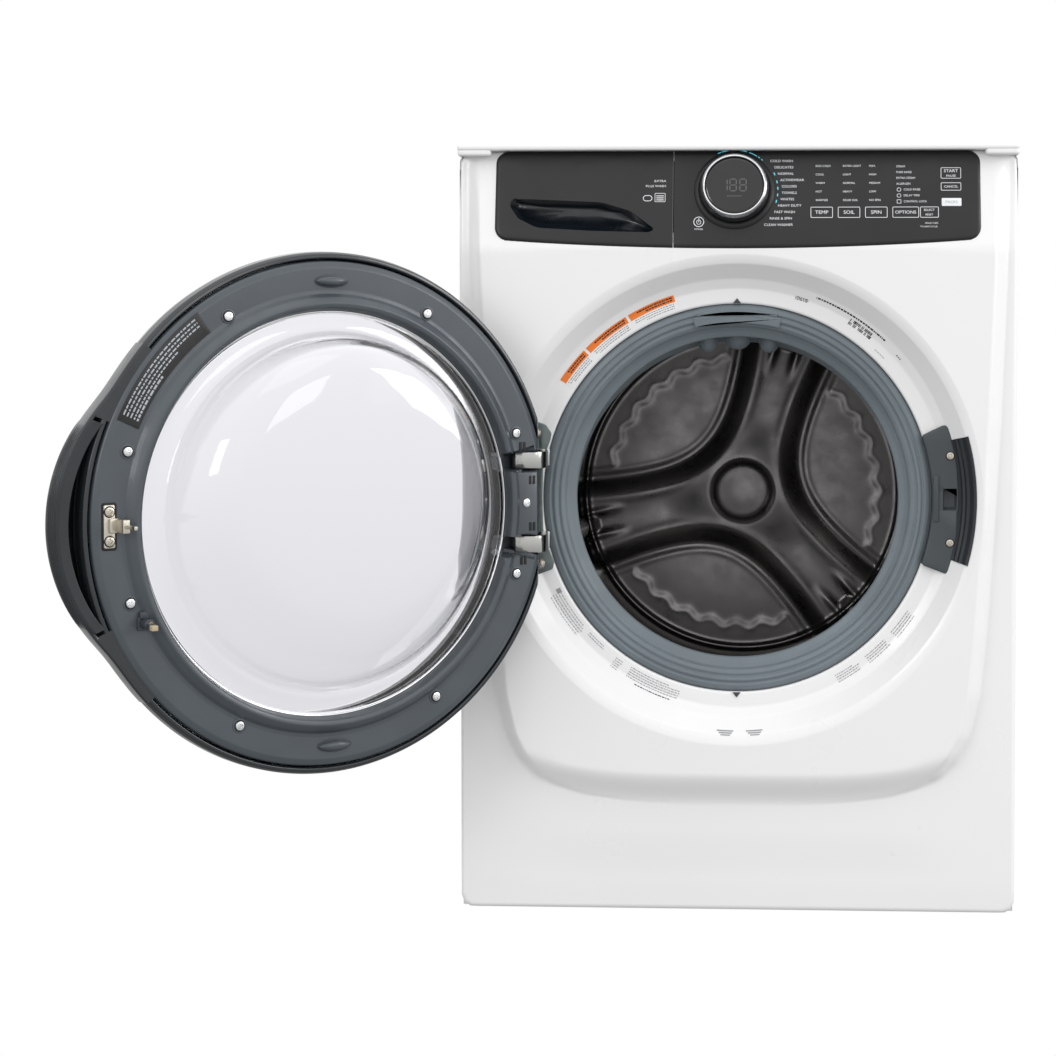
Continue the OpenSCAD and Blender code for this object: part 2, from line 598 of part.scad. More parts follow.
module suspension_springs() color("#aab0b4") for (s = [-1, 1]) translate([s * 312, 24, 0]) {
    difference() {
        translate([0, 0, 690]) cylinder(r = 13, h = 190);
        translate([0, 0, 694]) cylinder(r = 9, h = 182);
    }
    translate([0, 0, 616]) cylinder(r = 3, h = 80);
    translate([0, 0, 612]) cylinder(r = 7, h = 9);
    translate([0, 0, 876]) cylinder(r = 3, h = 14);
    box([s > 0 ? -3 : 5.5 + 312 - hw, -6, 884], [s > 0 ? hw - 312 - 5.5 : 3, 6, 890]);
}
function arc(r, zc, a0, a1, n) = [for (i = [0:n]) let (a = a0 + (a1 - a0) * i / n)
    [r * cos(a), zc + r * sin(a)]];
wrap = asin((pulley_r - pinion_r) / motor_drop);
module loop(g) polygon(concat(arc(pulley_r + g, 0, -wrap, 180 + wrap, 40),
    arc(pinion_r + g, -motor_drop, 180 + wrap, 360 - wrap, 12)));
module drive_belt() color("#1f2022") at_drum() front_ext(614, 630) difference() { loop(3.4); loop(0.35); }
// ---------------------------------------------------------------- drum group
module drum_shell() color("#8d9296") at_drum() {
    lathe_y([[drum_r, drum_y0], [drum_r + drum_t, drum_y0], [drum_r + drum_t, drum_y1 + 2], [drum_r, drum_y1 + 2]]);
    lathe_y([[drum_r + 4, drum_y0 + 8], [drum_r + 4, drum_y0 - 1],
    [drum_r - 2, drum_y0 - 4], [236, drum_y0 - 6], [226, drum_y0 - 10], [mouth_r, drum_y0 - 8], [mouth_r - 2, drum_y0 + 4],
    [mouth_r + 1, drum_y0 + 5], [mouth_r + 3, drum_y0 - 5], [226, drum_y0 - 7], [236, drum_y0 - 3], [drum_r - 2, drum_y0 - 1],
    [drum_r + drum_t, drum_y0], [drum_r + drum_t, drum_y0 + 8]]);
}
module drum_back() color("#7f8488") at_drum() {
    lathe_y([[0, drum_y1 - 26], [30, drum_y1 - 26], [38, drum_y1 - 20], [46, drum_y1 - 8], [60, drum_y1 - 3],
        [230, drum_y1 - 3], [250, drum_y1], [drum_r, drum_y1], [drum_r, drum_y1 + 2], [0, drum_y1 + 2]]);
    for (a = [73, 193, 313]) rotate([0, -a, 0])
        front_ext(drum_y1 - 12, drum_y1 - 2) polygon([[40, -22], [200, -46], [216, 0], [200, 46], [40, 22]]);
}
module spider_shaft() color("#a6aaad") at_drum() {
    lathe_y([[0, drum_y1 + 2], [46, drum_y1 + 2], [46, drum_y1 + 24], [shaft_r, drum_y1 + 24], [shaft_r, 644], [0, 644]]);
    for (a = [73, 193, 313]) rotate([0, -a, 0])
        front_ext(drum_y1 + 3, drum_y1 + 20) polygon([[20, -24], [271, -10], [271, 10], [20, 24]]);
}
module lifters() color("#a2a7ab") at_drum() for (a = [73, 193, 313]) rotate([0, -a, 0])
    front_ext(drum_y0 + 40, drum_y1 - 14) polygon([[drum_r - 2.5, -34], [drum_r - 14, -26], [drum_r - 44, -9],
        [drum_r - 47, 0], [drum_r - 44, 9], [drum_r - 14, 26], [drum_r - 2.5, 34], [drum_r - 2.5, 31.8], [drum_r - 12.5, 24.7],
        [drum_r - 43, 7.6], [drum_r - 45, 0], [drum_r - 43, -7.6], [drum_r - 12.5, -24.7], [drum_r - 2.5, -31.8]]);
module drum_pulley() color("#b4b8bb") at_drum() difference() {
    union() {
        tube_y(pulley_r, pulley_r - 10, 612, 632);
        cyl_y(34, 611, 636);
        for (a = [0:60:300]) rotate([0, a, 0]) box([26, 616, -9], [pulley_r - 6, 628, 9]);
    }
    cyl_y(shaft_r, 600, 650);
}
module motor_pulley() color("#c0c4c7") at_drum() translate([0, 0, -motor_drop]) {
    cyl_y(pinion_r, 611, 633);
    cyl_y(7, 591, 612);
}
// ---------------------------------------------------------------- pump
module pump_housing() color("#4a4e52") translate([170, -250, 62]) difference() {
    union() {
        cyl_y(36, -70, 36);
        cyl_y(26, 36, 84);
        translate([0, 0, 0]) cylinder(r = 20, h = 58);
        box([-46, -60, -41], [46, 30, -32]);
        rotate([0, -90, 0]) translate([0, 10, 0]) cylinder(r = 12, h = 58);
    }
    cyl_y(31, -66, 32);
    translate([0, 0, 0]) cylinder(r = 16, h = 70);
    cyl_y(4 + run_gap, 30, 60);
    rotate([0, -90, 0]) translate([0, 10, 0]) cylinder(r = 8, h = 70);
}
module pump_impeller() color("#6f757a") translate([170, -250, 62]) {
    cyl_y(4, 10, 58);
    cyl_y(9, 6, 29);
    for (a = [0:45:315]) rotate([0, a, 0]) box([6, 8, -1.2], [26, 28, 1.2]);
}

// ---------------------------------------------------------------- assembly
base_pan();
leveling_feet();
foot_lock_nuts();
left_side_panel();
right_side_panel();
rear_panel();
rear_access_cover();
cabinet_screws();
transit_plugs();
top_panel();
top_brace();
front_panel();
console_carrier();
console_fascia();
control_board();
dial_ring();
dial_display();
drawer_front();
drawer_tray();
siphon_insert();
dispenser_housing();
hoses();
inlet_valves();
drain_outlet();
cord_gland();
gasket();
gasket_clamp();
hinge_bracket();
latch_plate();
door_lock();
door_outer_ring();
door_window();
door_inner_frame();
door_glass_bowl();
glass_retainer();
door_screws();
door_strike();
hinge_pins();
door_bumpers();
handle_grip();
vent_plunger();
tub_front();
tub_rear();
tub_screws();
counterweights();
bearings();
shaft_seal();
motor();
damper_rods();
damper_cylinders();
suspension_springs();
drive_belt();
drum_shell();
drum_back();
spider_shaft();
lifters();
drum_pulley();
motor_pulley();
pump_housing();
pump_impeller();
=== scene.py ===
"""Looks of a front load washing machine that stands with its round door open.

Lengths are millimetres while a surface is worked out and become metres when its mesh is made.
X is right, Y is back, Z is up. Shapes are surfaces of two parameters, outlines with rounded
corners that are lofted, and profiles turned about an axis."""
import math

import bmesh
import bpy
import numpy as np
from mathutils.geometry import tessellate_polygon
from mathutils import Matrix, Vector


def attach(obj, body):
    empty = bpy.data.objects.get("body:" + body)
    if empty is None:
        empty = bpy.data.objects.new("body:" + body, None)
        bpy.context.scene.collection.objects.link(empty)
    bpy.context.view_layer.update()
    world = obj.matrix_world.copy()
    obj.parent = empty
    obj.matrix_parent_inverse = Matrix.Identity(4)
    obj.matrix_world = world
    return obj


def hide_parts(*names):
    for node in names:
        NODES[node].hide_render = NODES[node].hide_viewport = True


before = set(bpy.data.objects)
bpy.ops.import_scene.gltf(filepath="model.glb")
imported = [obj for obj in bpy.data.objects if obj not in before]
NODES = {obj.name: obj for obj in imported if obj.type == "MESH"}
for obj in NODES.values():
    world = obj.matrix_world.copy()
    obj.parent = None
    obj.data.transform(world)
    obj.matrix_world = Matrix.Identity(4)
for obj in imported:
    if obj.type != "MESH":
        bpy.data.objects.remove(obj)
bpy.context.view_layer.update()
MM = 0.001

# shared sizes, the same as the solids'
DOOR_Z = 530.0                  # height of the door axis
DRUM_Z = 522.0                  # height of the drum axis at its front datum
DRUM_Y = -330.0                 # that datum
CONSOLE_Z = 835.0               # lower edge of the console slope
PLATEAU_Y = -400.0              # raised field of the front
BORDER_Y = -378.0               # border of the front
RIM_R = 300.0                   # rim of the round recess
PIN = (-264.0, -424.0)          # upright axis of the door hinge
OPEN = math.radians(142)
TILT = math.radians(3)
SLOPE = math.radians(13.6)
HALF_W = 343.0
# recess of the front, from its floor to the rim: (radius, y, corner radius)
RECESS = [(259, -368.3, 7), (271, -375, 12), (289, -395, 7), (RIM_R, PLATEAU_Y)]


# ------------------------------------------------------------------ places
def door_place(p):
    """Turns points of the shut door open: a turn by OPEN about the vertical line through PIN."""
    p = np.asarray(p, float).copy()
    dx, dy = p[..., 0] - PIN[0], p[..., 1] - PIN[1]
    c, s = math.cos(OPEN), math.sin(OPEN)
    p[..., 0] = PIN[0] + dx * c + dy * s
    p[..., 1] = PIN[1] - dx * s + dy * c
    return p


def console_place(p):
    """Local x, y out of the face (negative is proud), z up the slope, from its lower edge."""
    p = np.asarray(p, float).copy()
    c, s = math.cos(SLOPE), math.sin(SLOPE)
    y, z = p[..., 1].copy(), p[..., 2].copy()
    p[..., 1] = PLATEAU_Y + y * c + z * s
    p[..., 2] = CONSOLE_Z - y * s + z * c
    return p


def drum_place(p):
    """Local y runs along the drum axis, which drops towards the back by TILT."""
    p = np.asarray(p, float).copy()
    c, s = math.cos(TILT), math.sin(TILT)
    y, z = p[..., 1].copy(), p[..., 2].copy()
    p[..., 1] = DRUM_Y + y * c + z * s
    p[..., 2] = DRUM_Z - y * s + z * c
    return p


def raised(z):
    """A place function that lifts points by z."""
    def place(p):
        p = np.asarray(p, float).copy()
        p[..., 2] += z
        return p
    return place


at_door_axis = raised(DOOR_Z)


def in_world(p):
    """Leaves points where they are."""
    return np.asarray(p, float)


def open_door(p):
    """Points given about the shut door's axis, lifted to it and swung open."""
    return door_place(at_door_axis(p))


# ------------------------------------------------------------------ meshes
def add(name, verts, faces, mat, body, smooth=38.0, uv=None):
    """Makes one object. Faces that meet at more than `smooth` degrees stay sharp."""
    me = bpy.data.meshes.new(name)
    v = np.asarray(verts, float).reshape(-1, 3) * MM
    me.from_pydata(v.tolist(), [], [tuple(int(i) for i in f) for f in faces])
    if uv is not None:
        lay = me.uv_layers.new(name="UVMap")
        loops = np.empty(len(me.loops), np.int32)
        me.loops.foreach_get("vertex_index", loops)
        lay.data.foreach_set("uv", np.asarray(uv, float).reshape(-1, 2)[loops].ravel())
    me.validate()
    bm = bmesh.new()
    bm.from_mesh(me)
    bmesh.ops.remove_doubles(bm, verts=bm.verts, dist=2e-6)
    bmesh.ops.recalc_face_normals(bm, faces=bm.faces)
    bm.to_mesh(me)
    bm.free()
    if smooth:
        me.shade_smooth()
        me.set_sharp_from_angle(angle=math.radians(smooth))
    ob = bpy.data.objects.new(name, me)
    bpy.context.scene.collection.objects.link(ob)
    me.materials.append(mat)
    if body:
        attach(ob, body)
    return ob


def quads(nu, nv, wrap_u=False, wrap_v=False, base=0, flip=False):
    """Faces of a grid whose point (i, j) has the index base + i * nv + j."""
    i = np.arange(nu if wrap_u else nu - 1)
    j = np.arange(nv if wrap_v else nv - 1)
    a, b = np.meshgrid(i, j, indexing="ij")
    a2, b2 = (a + 1) % nu, (b + 1) % nv
    f = np.stack([a * nv + b, a2 * nv + b, a2 * nv + b2, a * nv + b2], -1).reshape(-1, 4) + base
    return f[:, ::-1] if flip else f


class Build:
    """Gathers several surfaces into one mesh."""

    def __init__(self):
        self.v, self.f, self.uv, self.n = [], [], [], 0

    def grid(self, p, wrap_u=False, wrap_v=False, flip=False, keep=None):
        """A surface from a grid of points; `keep` picks faces by their centres."""
        p = np.asarray(p, float)
        nu, nv = p.shape[:2]
        f = quads(nu, nv, wrap_u, wrap_v, 0, flip)
        if keep is not None:
            c = p.reshape(-1, 3)[f].mean(1)
            f = f[keep(c)]
        u, v = np.meshgrid(np.linspace(0, 1, nu), np.linspace(0, 1, nv), indexing="ij")
        self.v.append(p.reshape(-1, 3))
        self.uv.append(np.stack([u, v], -1).reshape(-1, 2))
        self.f += [tuple(q) for q in (f + self.n)]
        self.n += nu * nv
        return self

    def poly(self, p, flip=False):
        """One flat face round a closed line of points."""
        p = np.asarray(p, float)
        idx = list(range(self.n, self.n + len(p)))
        self.v.append(p)
        self.uv.append(np.zeros((len(p), 2)))
        self.f.append(tuple(idx[::-1] if flip else idx))
        self.n += len(p)
        return self

    def raw(self, v, f):
        """Points and faces as they are."""
        v = np.asarray(v, float)
        self.v.append(v)
        self.uv.append(np.zeros((len(v), 2)))
        self.f += [tuple(int(i) + self.n for i in q) for q in f]
        self.n += len(v)
        return self

    def join(self, other, place=None):
        """Takes in another Build, moved by `place` if it is given."""
        for v in other.v:
            self.v.append(place(v) if place else v)
        self.uv += other.uv
        self.f += [tuple(i + self.n for i in q) for q in other.f]
        self.n += other.n
        return self

    def make(self, name, mat, body, place=in_world, smooth=38.0, slot=None):
        """Places all points and makes the object."""
        v = place(np.concatenate(self.v))
        return add(name, v, self.f, mat, body, smooth, np.concatenate(self.uv))


def fillet(pts, closed=False, steps=5, even=False):
    """Rounds the corners of a line of (a, b, radius) points with arcs tangent to both sides.
    With `even`, a straight corner keeps as many points as a rounded one."""
    pts = [tuple(p) + (0.0,) * (3 - len(p)) for p in pts]
    n = len(pts)
    out = []
    for i, (a, b, r) in enumerate(pts):
        if r <= 0 or (not closed and i in (0, n - 1)):
            out.append((a, b))
            continue
        p, q, s = np.array(pts[i - 1][:2]), np.array((a, b)), np.array(pts[(i + 1) % n][:2])
        d1, d2 = p - q, s - q
        l1, l2 = np.linalg.norm(d1), np.linalg.norm(d2)
        d1, d2 = d1 / l1, d2 / l2
        half = math.acos(max(-1, min(1, float(d1 @ d2)))) / 2
        if half > 1.55 or half < 0.02:
            out += [(a, b)] * (max(2, steps) + 1 if even else 1)
            continue
        cut = min(r / math.tan(half), 0.48 * l1, 0.48 * l2)
        rr = cut * math.tan(half)
        mid = (d1 + d2) / np.linalg.norm(d1 + d2)
        c = q + mid * rr / math.sin(half)
        e1, e2 = q + d1 * cut - c, q + d2 * cut - c
        a1 = math.atan2(e1[1], e1[0])
        a2 = math.atan2(e2[1], e2[0])
        da = (a2 - a1 + math.pi) % (2 * math.pi) - math.pi
        k = max(2, steps)
        for t in np.linspace(0, 1, k + 1):
            out.append((c[0] + rr * math.cos(a1 + da * t), c[1] + rr * math.sin(a1 + da * t)))
    return np.array(out)


def lathe(profile, n=160, closed=True, a0=0.0, a1=360.0, steps=4):
    """Turns (radius, y) about the Y axis. Angle 0 is +X and grows towards +Z."""
    pr = fillet(profile, closed, steps)
    full = abs(a1 - a0) >= 360
    a = np.radians(np.linspace(a0, a1, n, endpoint=not full))
    r, y = pr[:, 0], pr[:, 1]
    p = np.stack([np.cos(a)[:, None] * r, np.broadcast_to(y, (n, len(y))), np.sin(a)[:, None] * r],
                 -1)
    b = Build().grid(p, wrap_u=full, wrap_v=closed, flip=True)
    if not full and closed:
        b.poly(p[0], flip=False).poly(p[-1], flip=True)
    return b


def rounded(x0, z0, x1, z1, r, steps=6):
    """A rectangle's outline with its corners rounded by r."""
    return fillet([(x0, z0, r), (x1, z0, r), (x1, z1, r), (x0, z1, r)], True, steps)


def inset(outline, d):
    """Moves a closed outline inward by d along the average of its edge normals."""
    p = np.asarray(outline, float)
    nxt, prv = np.roll(p, -1, 0), np.roll(p, 1, 0)
    area = 0.5 * np.sum(p[:, 0] * nxt[:, 1] - nxt[:, 0] * p[:, 1])
    s = 1.0 if area > 0 else -1.0

    def normal(e):
        e = e / np.maximum(np.linalg.norm(e, axis=1, keepdims=True), 1e-9)
        return np.stack([-e[:, 1], e[:, 0]], -1) * s

    n1, n2 = normal(p - prv), normal(nxt - p)
    m = n1 + n2
    m /= np.maximum(np.linalg.norm(m, axis=1, keepdims=True), 1e-9)
    k = 1 / np.maximum((m * n1).sum(1, keepdims=True), 0.5)
    return p + m * k * d


def slab(outline, y0, y1, bevel=0.6, bevel_back=None, steps=3):
    """A plate with rounded rims: the outline (x, z) lofted from its front y0 to its back y1."""
    o = np.asarray(outline, float)
    area = 0.5 * np.sum(o[:, 0] * np.roll(o[:, 1], -1) - np.roll(o[:, 0], -1) * o[:, 1])
    if area < 0:
        o = o[::-1]
    bb = bevel if bevel_back is None else bevel_back
    rings = []
    for t in np.linspace(0, math.pi / 2, steps + 1):
        rings.append((bevel * (1 - math.sin(t)), y0 + bevel * (1 - math.cos(t))))
    for t in np.linspace(math.pi / 2, 0, steps + 1):
        rings.append((bb * (1 - math.sin(t)), y1 - bb * (1 - math.cos(t))))
    p = []
    for d, y in rings:
        q = inset(o, d) if d > 0 else o
        p.append(np.stack([q[:, 0], np.full(len(q), y), q[:, 1]], -1))
    p = np.array(p)
    b = Build().grid(p, wrap_v=True, flip=True)
    b.poly(p[0], flip=False).poly(p[-1], flip=True)
    return b


def holed_slab(outline, holes, y0, y1, bevel=0.6, steps=4):
    """A plate as `slab` makes it, whose flat front is cut by holes given as outlines."""
    b = slab(outline, y0, y1, bevel, 0.4, steps)
    ring = b.v[0].reshape(-1, 3)[:len(np.asarray(outline))]
    b.f.pop(-2)
    loops = [ring[:, [0, 2]]] + [np.asarray(h, float) for h in holes]
    tris = tessellate_polygon([[Vector((q[0], q[1], 0)) for q in loop] for loop in loops])
    flat = np.concatenate(loops)
    return b.raw(np.stack([flat[:, 0], np.full(len(flat), y0), flat[:, 1]], -1), tris)


def funnel(outline, levels):
    """Walls that sink from an outline. Each level is (y, scale, centre x, centre z)."""
    o = np.asarray(outline, float)
    p = []
    for y, k, cx, cz in levels:
        c = np.array([cx, cz])
        q = c + (o - c) * np.asarray(k)
        p.append(np.stack([q[:, 0], np.full(len(q), y), q[:, 1]], -1))
    p = np.array(p)
    return Build().grid(p, wrap_v=True, flip=True).poly(p[-1], flip=True)


def words(items, y):
    """Flat lettering. Each item is (text, x, z, size, stretch, align); one Build holds them all."""
    b = Build()
    for text, x, z, size, stretch, align in items:
        cu = bpy.data.curves.new("t", "FONT")
        cu.body, cu.size, cu.align_x, cu.align_y = text, 1.0, align, "CENTER"
        cu.resolution_u = 3
        ob = bpy.data.objects.new("t", cu)
        me = bpy.data.meshes.new_from_object(ob)
        v = np.array([q.co for q in me.vertices])
        if len(v):
            v = np.stack([x + v[:, 0] * size * stretch, np.full(len(v), y), z + v[:, 1] * size], -1)
            b.raw(v, [tuple(q.vertices) for q in me.polygons])
        bpy.data.objects.remove(ob)
        bpy.data.curves.remove(cu)
        bpy.data.meshes.remove(me)
    return b


def outline_box(x0, z0, x1, z1, r, t, y):
    """A thin flat frame: the band between a rounded rectangle and its inset by t."""
    o = rounded(x0, z0, x1, z1, r, 4)
    q = inset(o, t)
    g = np.array([np.stack([k[:, 0], np.full(len(k), y), k[:, 1]], -1) for k in (o, q)])
    return Build().grid(g, wrap_v=True, flip=True)


def disc(cx, cz, r, n=40, ry=None):
    """The outline of a circle, or of an ellipse where ry is given."""
    a = np.linspace(0, 2 * math.pi, n, endpoint=False)
    return np.stack([cx + r * np.cos(a), cz + (ry or r) * np.sin(a)], -1)


def tube(path, r, n=10):
    """A round bar along an open path; the section stays square to the path."""
    path = np.asarray(path, float)
    t = np.gradient(path, axis=0)
    t /= np.linalg.norm(t, axis=1, keepdims=True)
    up = np.array([0, 0, 1.0]) if abs(t[0][2]) < 0.9 else np.array([1.0, 0, 0])
    u = np.cross(t[0], up)
    us = []
    for k in range(len(path)):
        u = u - t[k] * (u @ t[k])
        u /= np.linalg.norm(u)
        us.append(u)
    us = np.array(us)
    w = np.cross(t, us)
    a = np.linspace(0, 2 * math.pi, n, endpoint=False)
    ring = us[:, None] * np.cos(a)[None, :, None] + w[:, None] * np.sin(a)[None, :, None]
    p = path[:, None] + r * ring
    return Build().grid(p, wrap_v=True).poly(p[0], flip=False).poly(p[-1], flip=True)


def smooth01(t):
    """A soft step from 0 to 1: three t squared less two t cubed."""
    t = np.clip(t, 0, 1)
    return t * t * (3 - 2 * t)


def screw(x, z, y, r=5.0, h=2.4, turn=0.4, out=-1.0):
    """A pan head with a cross recess: the dome is h high and the cross is cut 0.6 h deep."""
    nr, na = 15, 48
    rr = np.linspace(0, 1, nr)
    aa = np.linspace(0, 2 * math.pi, na, endpoint=False)
    R, A = np.meshgrid(rr, aa, indexing="ij")
    X, Z = R * np.cos(A + turn), R * np.sin(A + turn)
    dome = h * (1 - 0.35 * R ** 2) * np.clip((1.02 - R) * 14, 0, 1) ** 0.5
    X, Z = np.abs(X), np.abs(Z)
    thin, wide = 5.2, 1.75
    arm = np.minimum(np.maximum(X * thin, Z * wide), np.maximum(Z * thin, X * wide))
    dome = dome - 0.62 * h * smooth01((1.08 - arm) * 6)
    p = np.stack([x + r * R * np.cos(A), y + out * dome, z + r * R * np.sin(A)], -1)
    return Build().grid(p, wrap_v=True, flip=out > 0)


# ------------------------------------------------------------------ shading
class Ex:
    """One value in a material's node graph, with ordinary arithmetic."""

    def __init__(self, m, sock):
        self.m, self.sock = m, sock

    def _op(self, other, kind, swap=False):
        a, b = (other, self) if swap else (self, other)
        return self.m.node("ShaderNodeMath", {0: a, 1: b}, operation=kind)

    def __add__(self, o): return self._op(o, "ADD")
    def __radd__(self, o): return self._op(o, "ADD", True)
    def __sub__(self, o): return self._op(o, "SUBTRACT")
    def __rsub__(self, o): return self._op(o, "SUBTRACT", True)
    def __mul__(self, o): return self._op(o, "MULTIPLY")
    def __rmul__(self, o): return self._op(o, "MULTIPLY", True)

    def fn(self, kind, *o):
        """Any other operation of the Math node."""
        return self.m.node("ShaderNodeMath", {0: self, **{i + 1: v for i, v in enumerate(o)}},
                           operation=kind)

    def span(self, a, b, lo=0.0, hi=1.0):
        """Goes softly from lo at a to hi at b."""
        return self.m.node("ShaderNodeMapRange", {0: self, 1: a, 2: b, 3: lo, 4: hi},
                           interpolation_type="SMOOTHSTEP")


class Mat:
    """A Principled surface whose constants are set on its own sockets."""

    def __init__(self, name, color, rough=0.5, metal=0.0, coat=0.0, **more):
        self.m = bpy.data.materials.new(name)
        self.m.use_nodes = True
        self.t = self.m.node_tree
        self.p = next(n for n in self.t.nodes if n.type == "BSDF_PRINCIPLED")
        self.base = color
        self.set("Base Color", (*color, 1.0))
        self.set("Roughness", rough)
        self.set("Metallic", metal)
        self.set("Coat Weight", coat)
        for k, v in more.items():
            self.set(k.replace("_", " "), v)
        self.m.diffuse_color = (*color, 1.0)

    def set(self, key, value):
        """Sets a socket of the surface to a constant or links an expression to it."""
        if isinstance(value, Ex):
            self.t.links.new(value.sock, self.p.inputs[key])
        else:
            self.p.inputs[key].default_value = value
        return self

    def node(self, kind, ins=None, out=0, **attrs):
        """Any node: its settings first, then its sockets' values or links."""
        n = self.t.nodes.new(kind)
        for k, v in attrs.items():
            setattr(n, k, v)
        for k, v in (ins or {}).items():
            s = n.inputs[k]
            if isinstance(v, Ex):
                self.t.links.new(v.sock, s)
            else:
                s.default_value = v
        return Ex(self, n.outputs[out])

    def at(self, scale=(1, 1, 1)):
        """Object coordinates, stretched."""
        o = self.node("ShaderNodeTexCoord", out=3)
        return self.node("ShaderNodeMapping", {0: o, 3: scale})

    def noise(self, scale, detail=2.0, rough=0.5, stretch=(1, 1, 1)):
        return self.node("ShaderNodeTexNoise", {"Vector": self.at(stretch), "Scale": scale,
                                                "Detail": detail, "Roughness": rough})

    def cells(self, scale, stretch=(1, 1, 1), feature="F1"):
        return self.node("ShaderNodeTexVoronoi", {"Vector": self.at(stretch), "Scale": scale},
                         feature=feature)

    def mix(self, f, a, b):
        """A colour between a and b."""
        a = (*a, 1.0) if isinstance(a, tuple) and len(a) == 3 else a
        b = (*b, 1.0) if isinstance(b, tuple) and len(b) == 3 else b
        n = self.t.nodes.new("ShaderNodeMix")
        n.data_type = "RGBA"
        for k, v in ((0, f), (6, a), (7, b)):
            if isinstance(v, Ex):
                self.t.links.new(v.sock, n.inputs[k])
            else:
                n.inputs[k].default_value = v
        return Ex(self, n.outputs[2])

    def bump(self, h, strength=0.3, dist=0.001):
        """Relief of height h, `dist` metres deep."""
        self.set("Normal", self.node("ShaderNodeBump", {"Height": h, "Strength": strength,
                                                        "Distance": dist}))
        return self


def shade(c, k):
    """A colour made k times as light."""
    return tuple(min(1.0, x * k) for x in c)


def enamel(name, c):
    """Baked paint."""
    m = Mat(name, c, 0.32, 0, 0.35, Coat_Roughness=0.12)
    n = m.noise(9, 3)
    m.set("Roughness", n.span(0.3, 0.7, 0.27, 0.36))
    m.set("Base Color", m.mix(m.noise(3.2, 2).span(0.3, 0.7), shade(c, 0.985), c))
    return m.bump(m.noise(420, 1), 0.06, 0.0004).m


def zinc(name, c=(0.55, 0.56, 0.57), rough=0.38):
    """Zinc plate or another dull metal."""
    m = Mat(name, c, rough, 0.9)
    cell = m.cells(85)
    m.set("Base Color", m.mix(cell.span(0.1, 0.7), shade(c, 0.84), shade(c, 1.12)))
    m.set("Roughness", m.noise(60, 3).span(0.3, 0.7, rough - 0.08, rough + 0.1))
    return m.bump(m.noise(900, 2), 0.08, 0.0003).m


def plastic(name, c, rough=0.5, grain=700, depth=0.12, vary=0.12, coat=0.0, metal=0.0):
    """Moulded plastic or print."""
    m = Mat(name, c, rough, metal, coat)
    m.set("Base Color", m.mix(m.noise(14, 3).span(0.3, 0.7), shade(c, 1 - vary),
                              shade(c, 1 + vary)))
    m.set("Roughness", m.noise(38, 3).span(0.3, 0.7, rough - 0.06, rough + 0.07))
    return m.bump(m.noise(grain, 2), depth, 0.0004).m


def metal(name, c, rough=0.18, brush=(1, 1, 1), scale=300, depth=0.06):
    """Bare metal; its fine scratches run across the axis with the largest `brush` number."""
    m = Mat(name, c, rough, 1.0)
    n = m.noise(scale, 2, 0.6, brush)
    m.set("Roughness", n.span(0.25, 0.75, rough * 0.75, rough * 1.35))
    m.set("Base Color", m.mix(m.noise(6, 3).span(0.3, 0.7), shade(c, 0.93), c))
    return m.bump(n, depth, 0.0002).m


def rubber(name, c, rough=0.55):
    """Matt rubber."""
    m = Mat(name, c, rough, 0, 0, Sheen_Weight=0.15)
    m.set("Base Color", m.mix(m.noise(7, 4).span(0.25, 0.75), shade(c, 0.86), shade(c, 1.1)))
    m.set("Roughness", m.noise(26, 3).span(0.3, 0.7, rough - 0.1, rough + 0.08))
    return m.bump(m.noise(520, 3), 0.14, 0.0004).m


WHITE = enamel("white_enamel", (0.83, 0.83, 0.834))
WHITE_BACK = enamel("white_enamel_panel", (0.8, 0.81, 0.82))
ZINC = zinc("zinc_plate")
ZINC_BRIGHT = zinc("bright_zinc", (0.78, 0.79, 0.8), 0.24)
SLATE = plastic("slate_moulding", (0.075, 0.09, 0.105), 0.42, 650, 0.1, 0.08)
SLATE_DARK = plastic("dark_slate", (0.035, 0.042, 0.05), 0.4, 650, 0.1, 0.1)
BLACK_SOFT = plastic("soft_black", (0.018, 0.019, 0.022), 0.5, 900, 0.12, 0.2)
# near-black fill that paints the shade inside slots, pits and the hollows round screws
PAINTED_SHADE = plastic("painted_shade_black", (0.006, 0.006, 0.007), 0.7, 500, 0.05, 0.1)
CONSOLE = plastic("console_face", (0.014, 0.014, 0.0145), 0.42, 1500, 0.03, 0.08, 0.0, 0.2)
SCOOP = plastic("scoop_gloss", (0.003, 0.006, 0.01), 0.3, 1500, 0.01, 0.1, 0.5)
EDGE = metal("console_edge", (0.2, 0.21, 0.22), 0.3)
PRINT = plastic("white_print", (0.78, 0.8, 0.82), 0.5, 900, 0.02, 0.03)
PRINT_DIM = plastic("grey_print", (0.4, 0.43, 0.46), 0.5, 900, 0.02, 0.05)
PRINT_GREY = plastic("label_ink", (0.3, 0.31, 0.32), 0.6, 900, 0.02, 0.1)
ORANGE = plastic("label_orange", (0.85, 0.2, 0.02), 0.45, 900, 0.02, 0.05)
BLACK_INK = plastic("label_black", (0.008, 0.008, 0.009), 0.35, 900, 0.02, 0.1)
PAPER = plastic("label_paper", (0.82, 0.83, 0.83), 0.5, 900, 0.03, 0.03)
CHROME = metal("bright_trim", (0.86, 0.87, 0.88), 0.07, scale=120, depth=0.01)
DIAL_METAL = metal("dial_ring_metal", (0.36, 0.37, 0.39), 0.2, scale=500)
RUBBER = rubber("gasket_rubber", (0.155, 0.188, 0.21), 0.5)
RUBBER_BLACK = rubber("black_rubber", (0.02, 0.02, 0.022))
BEIGE = plastic("beige_tip", (0.42, 0.34, 0.22), 0.5)
TUB_WHITE = plastic("natural_moulding", (0.72, 0.73, 0.73), 0.45, 500, 0.08, 0.03)
BLUE = plastic("blue_insert", (0.05, 0.2, 0.5), 0.3)
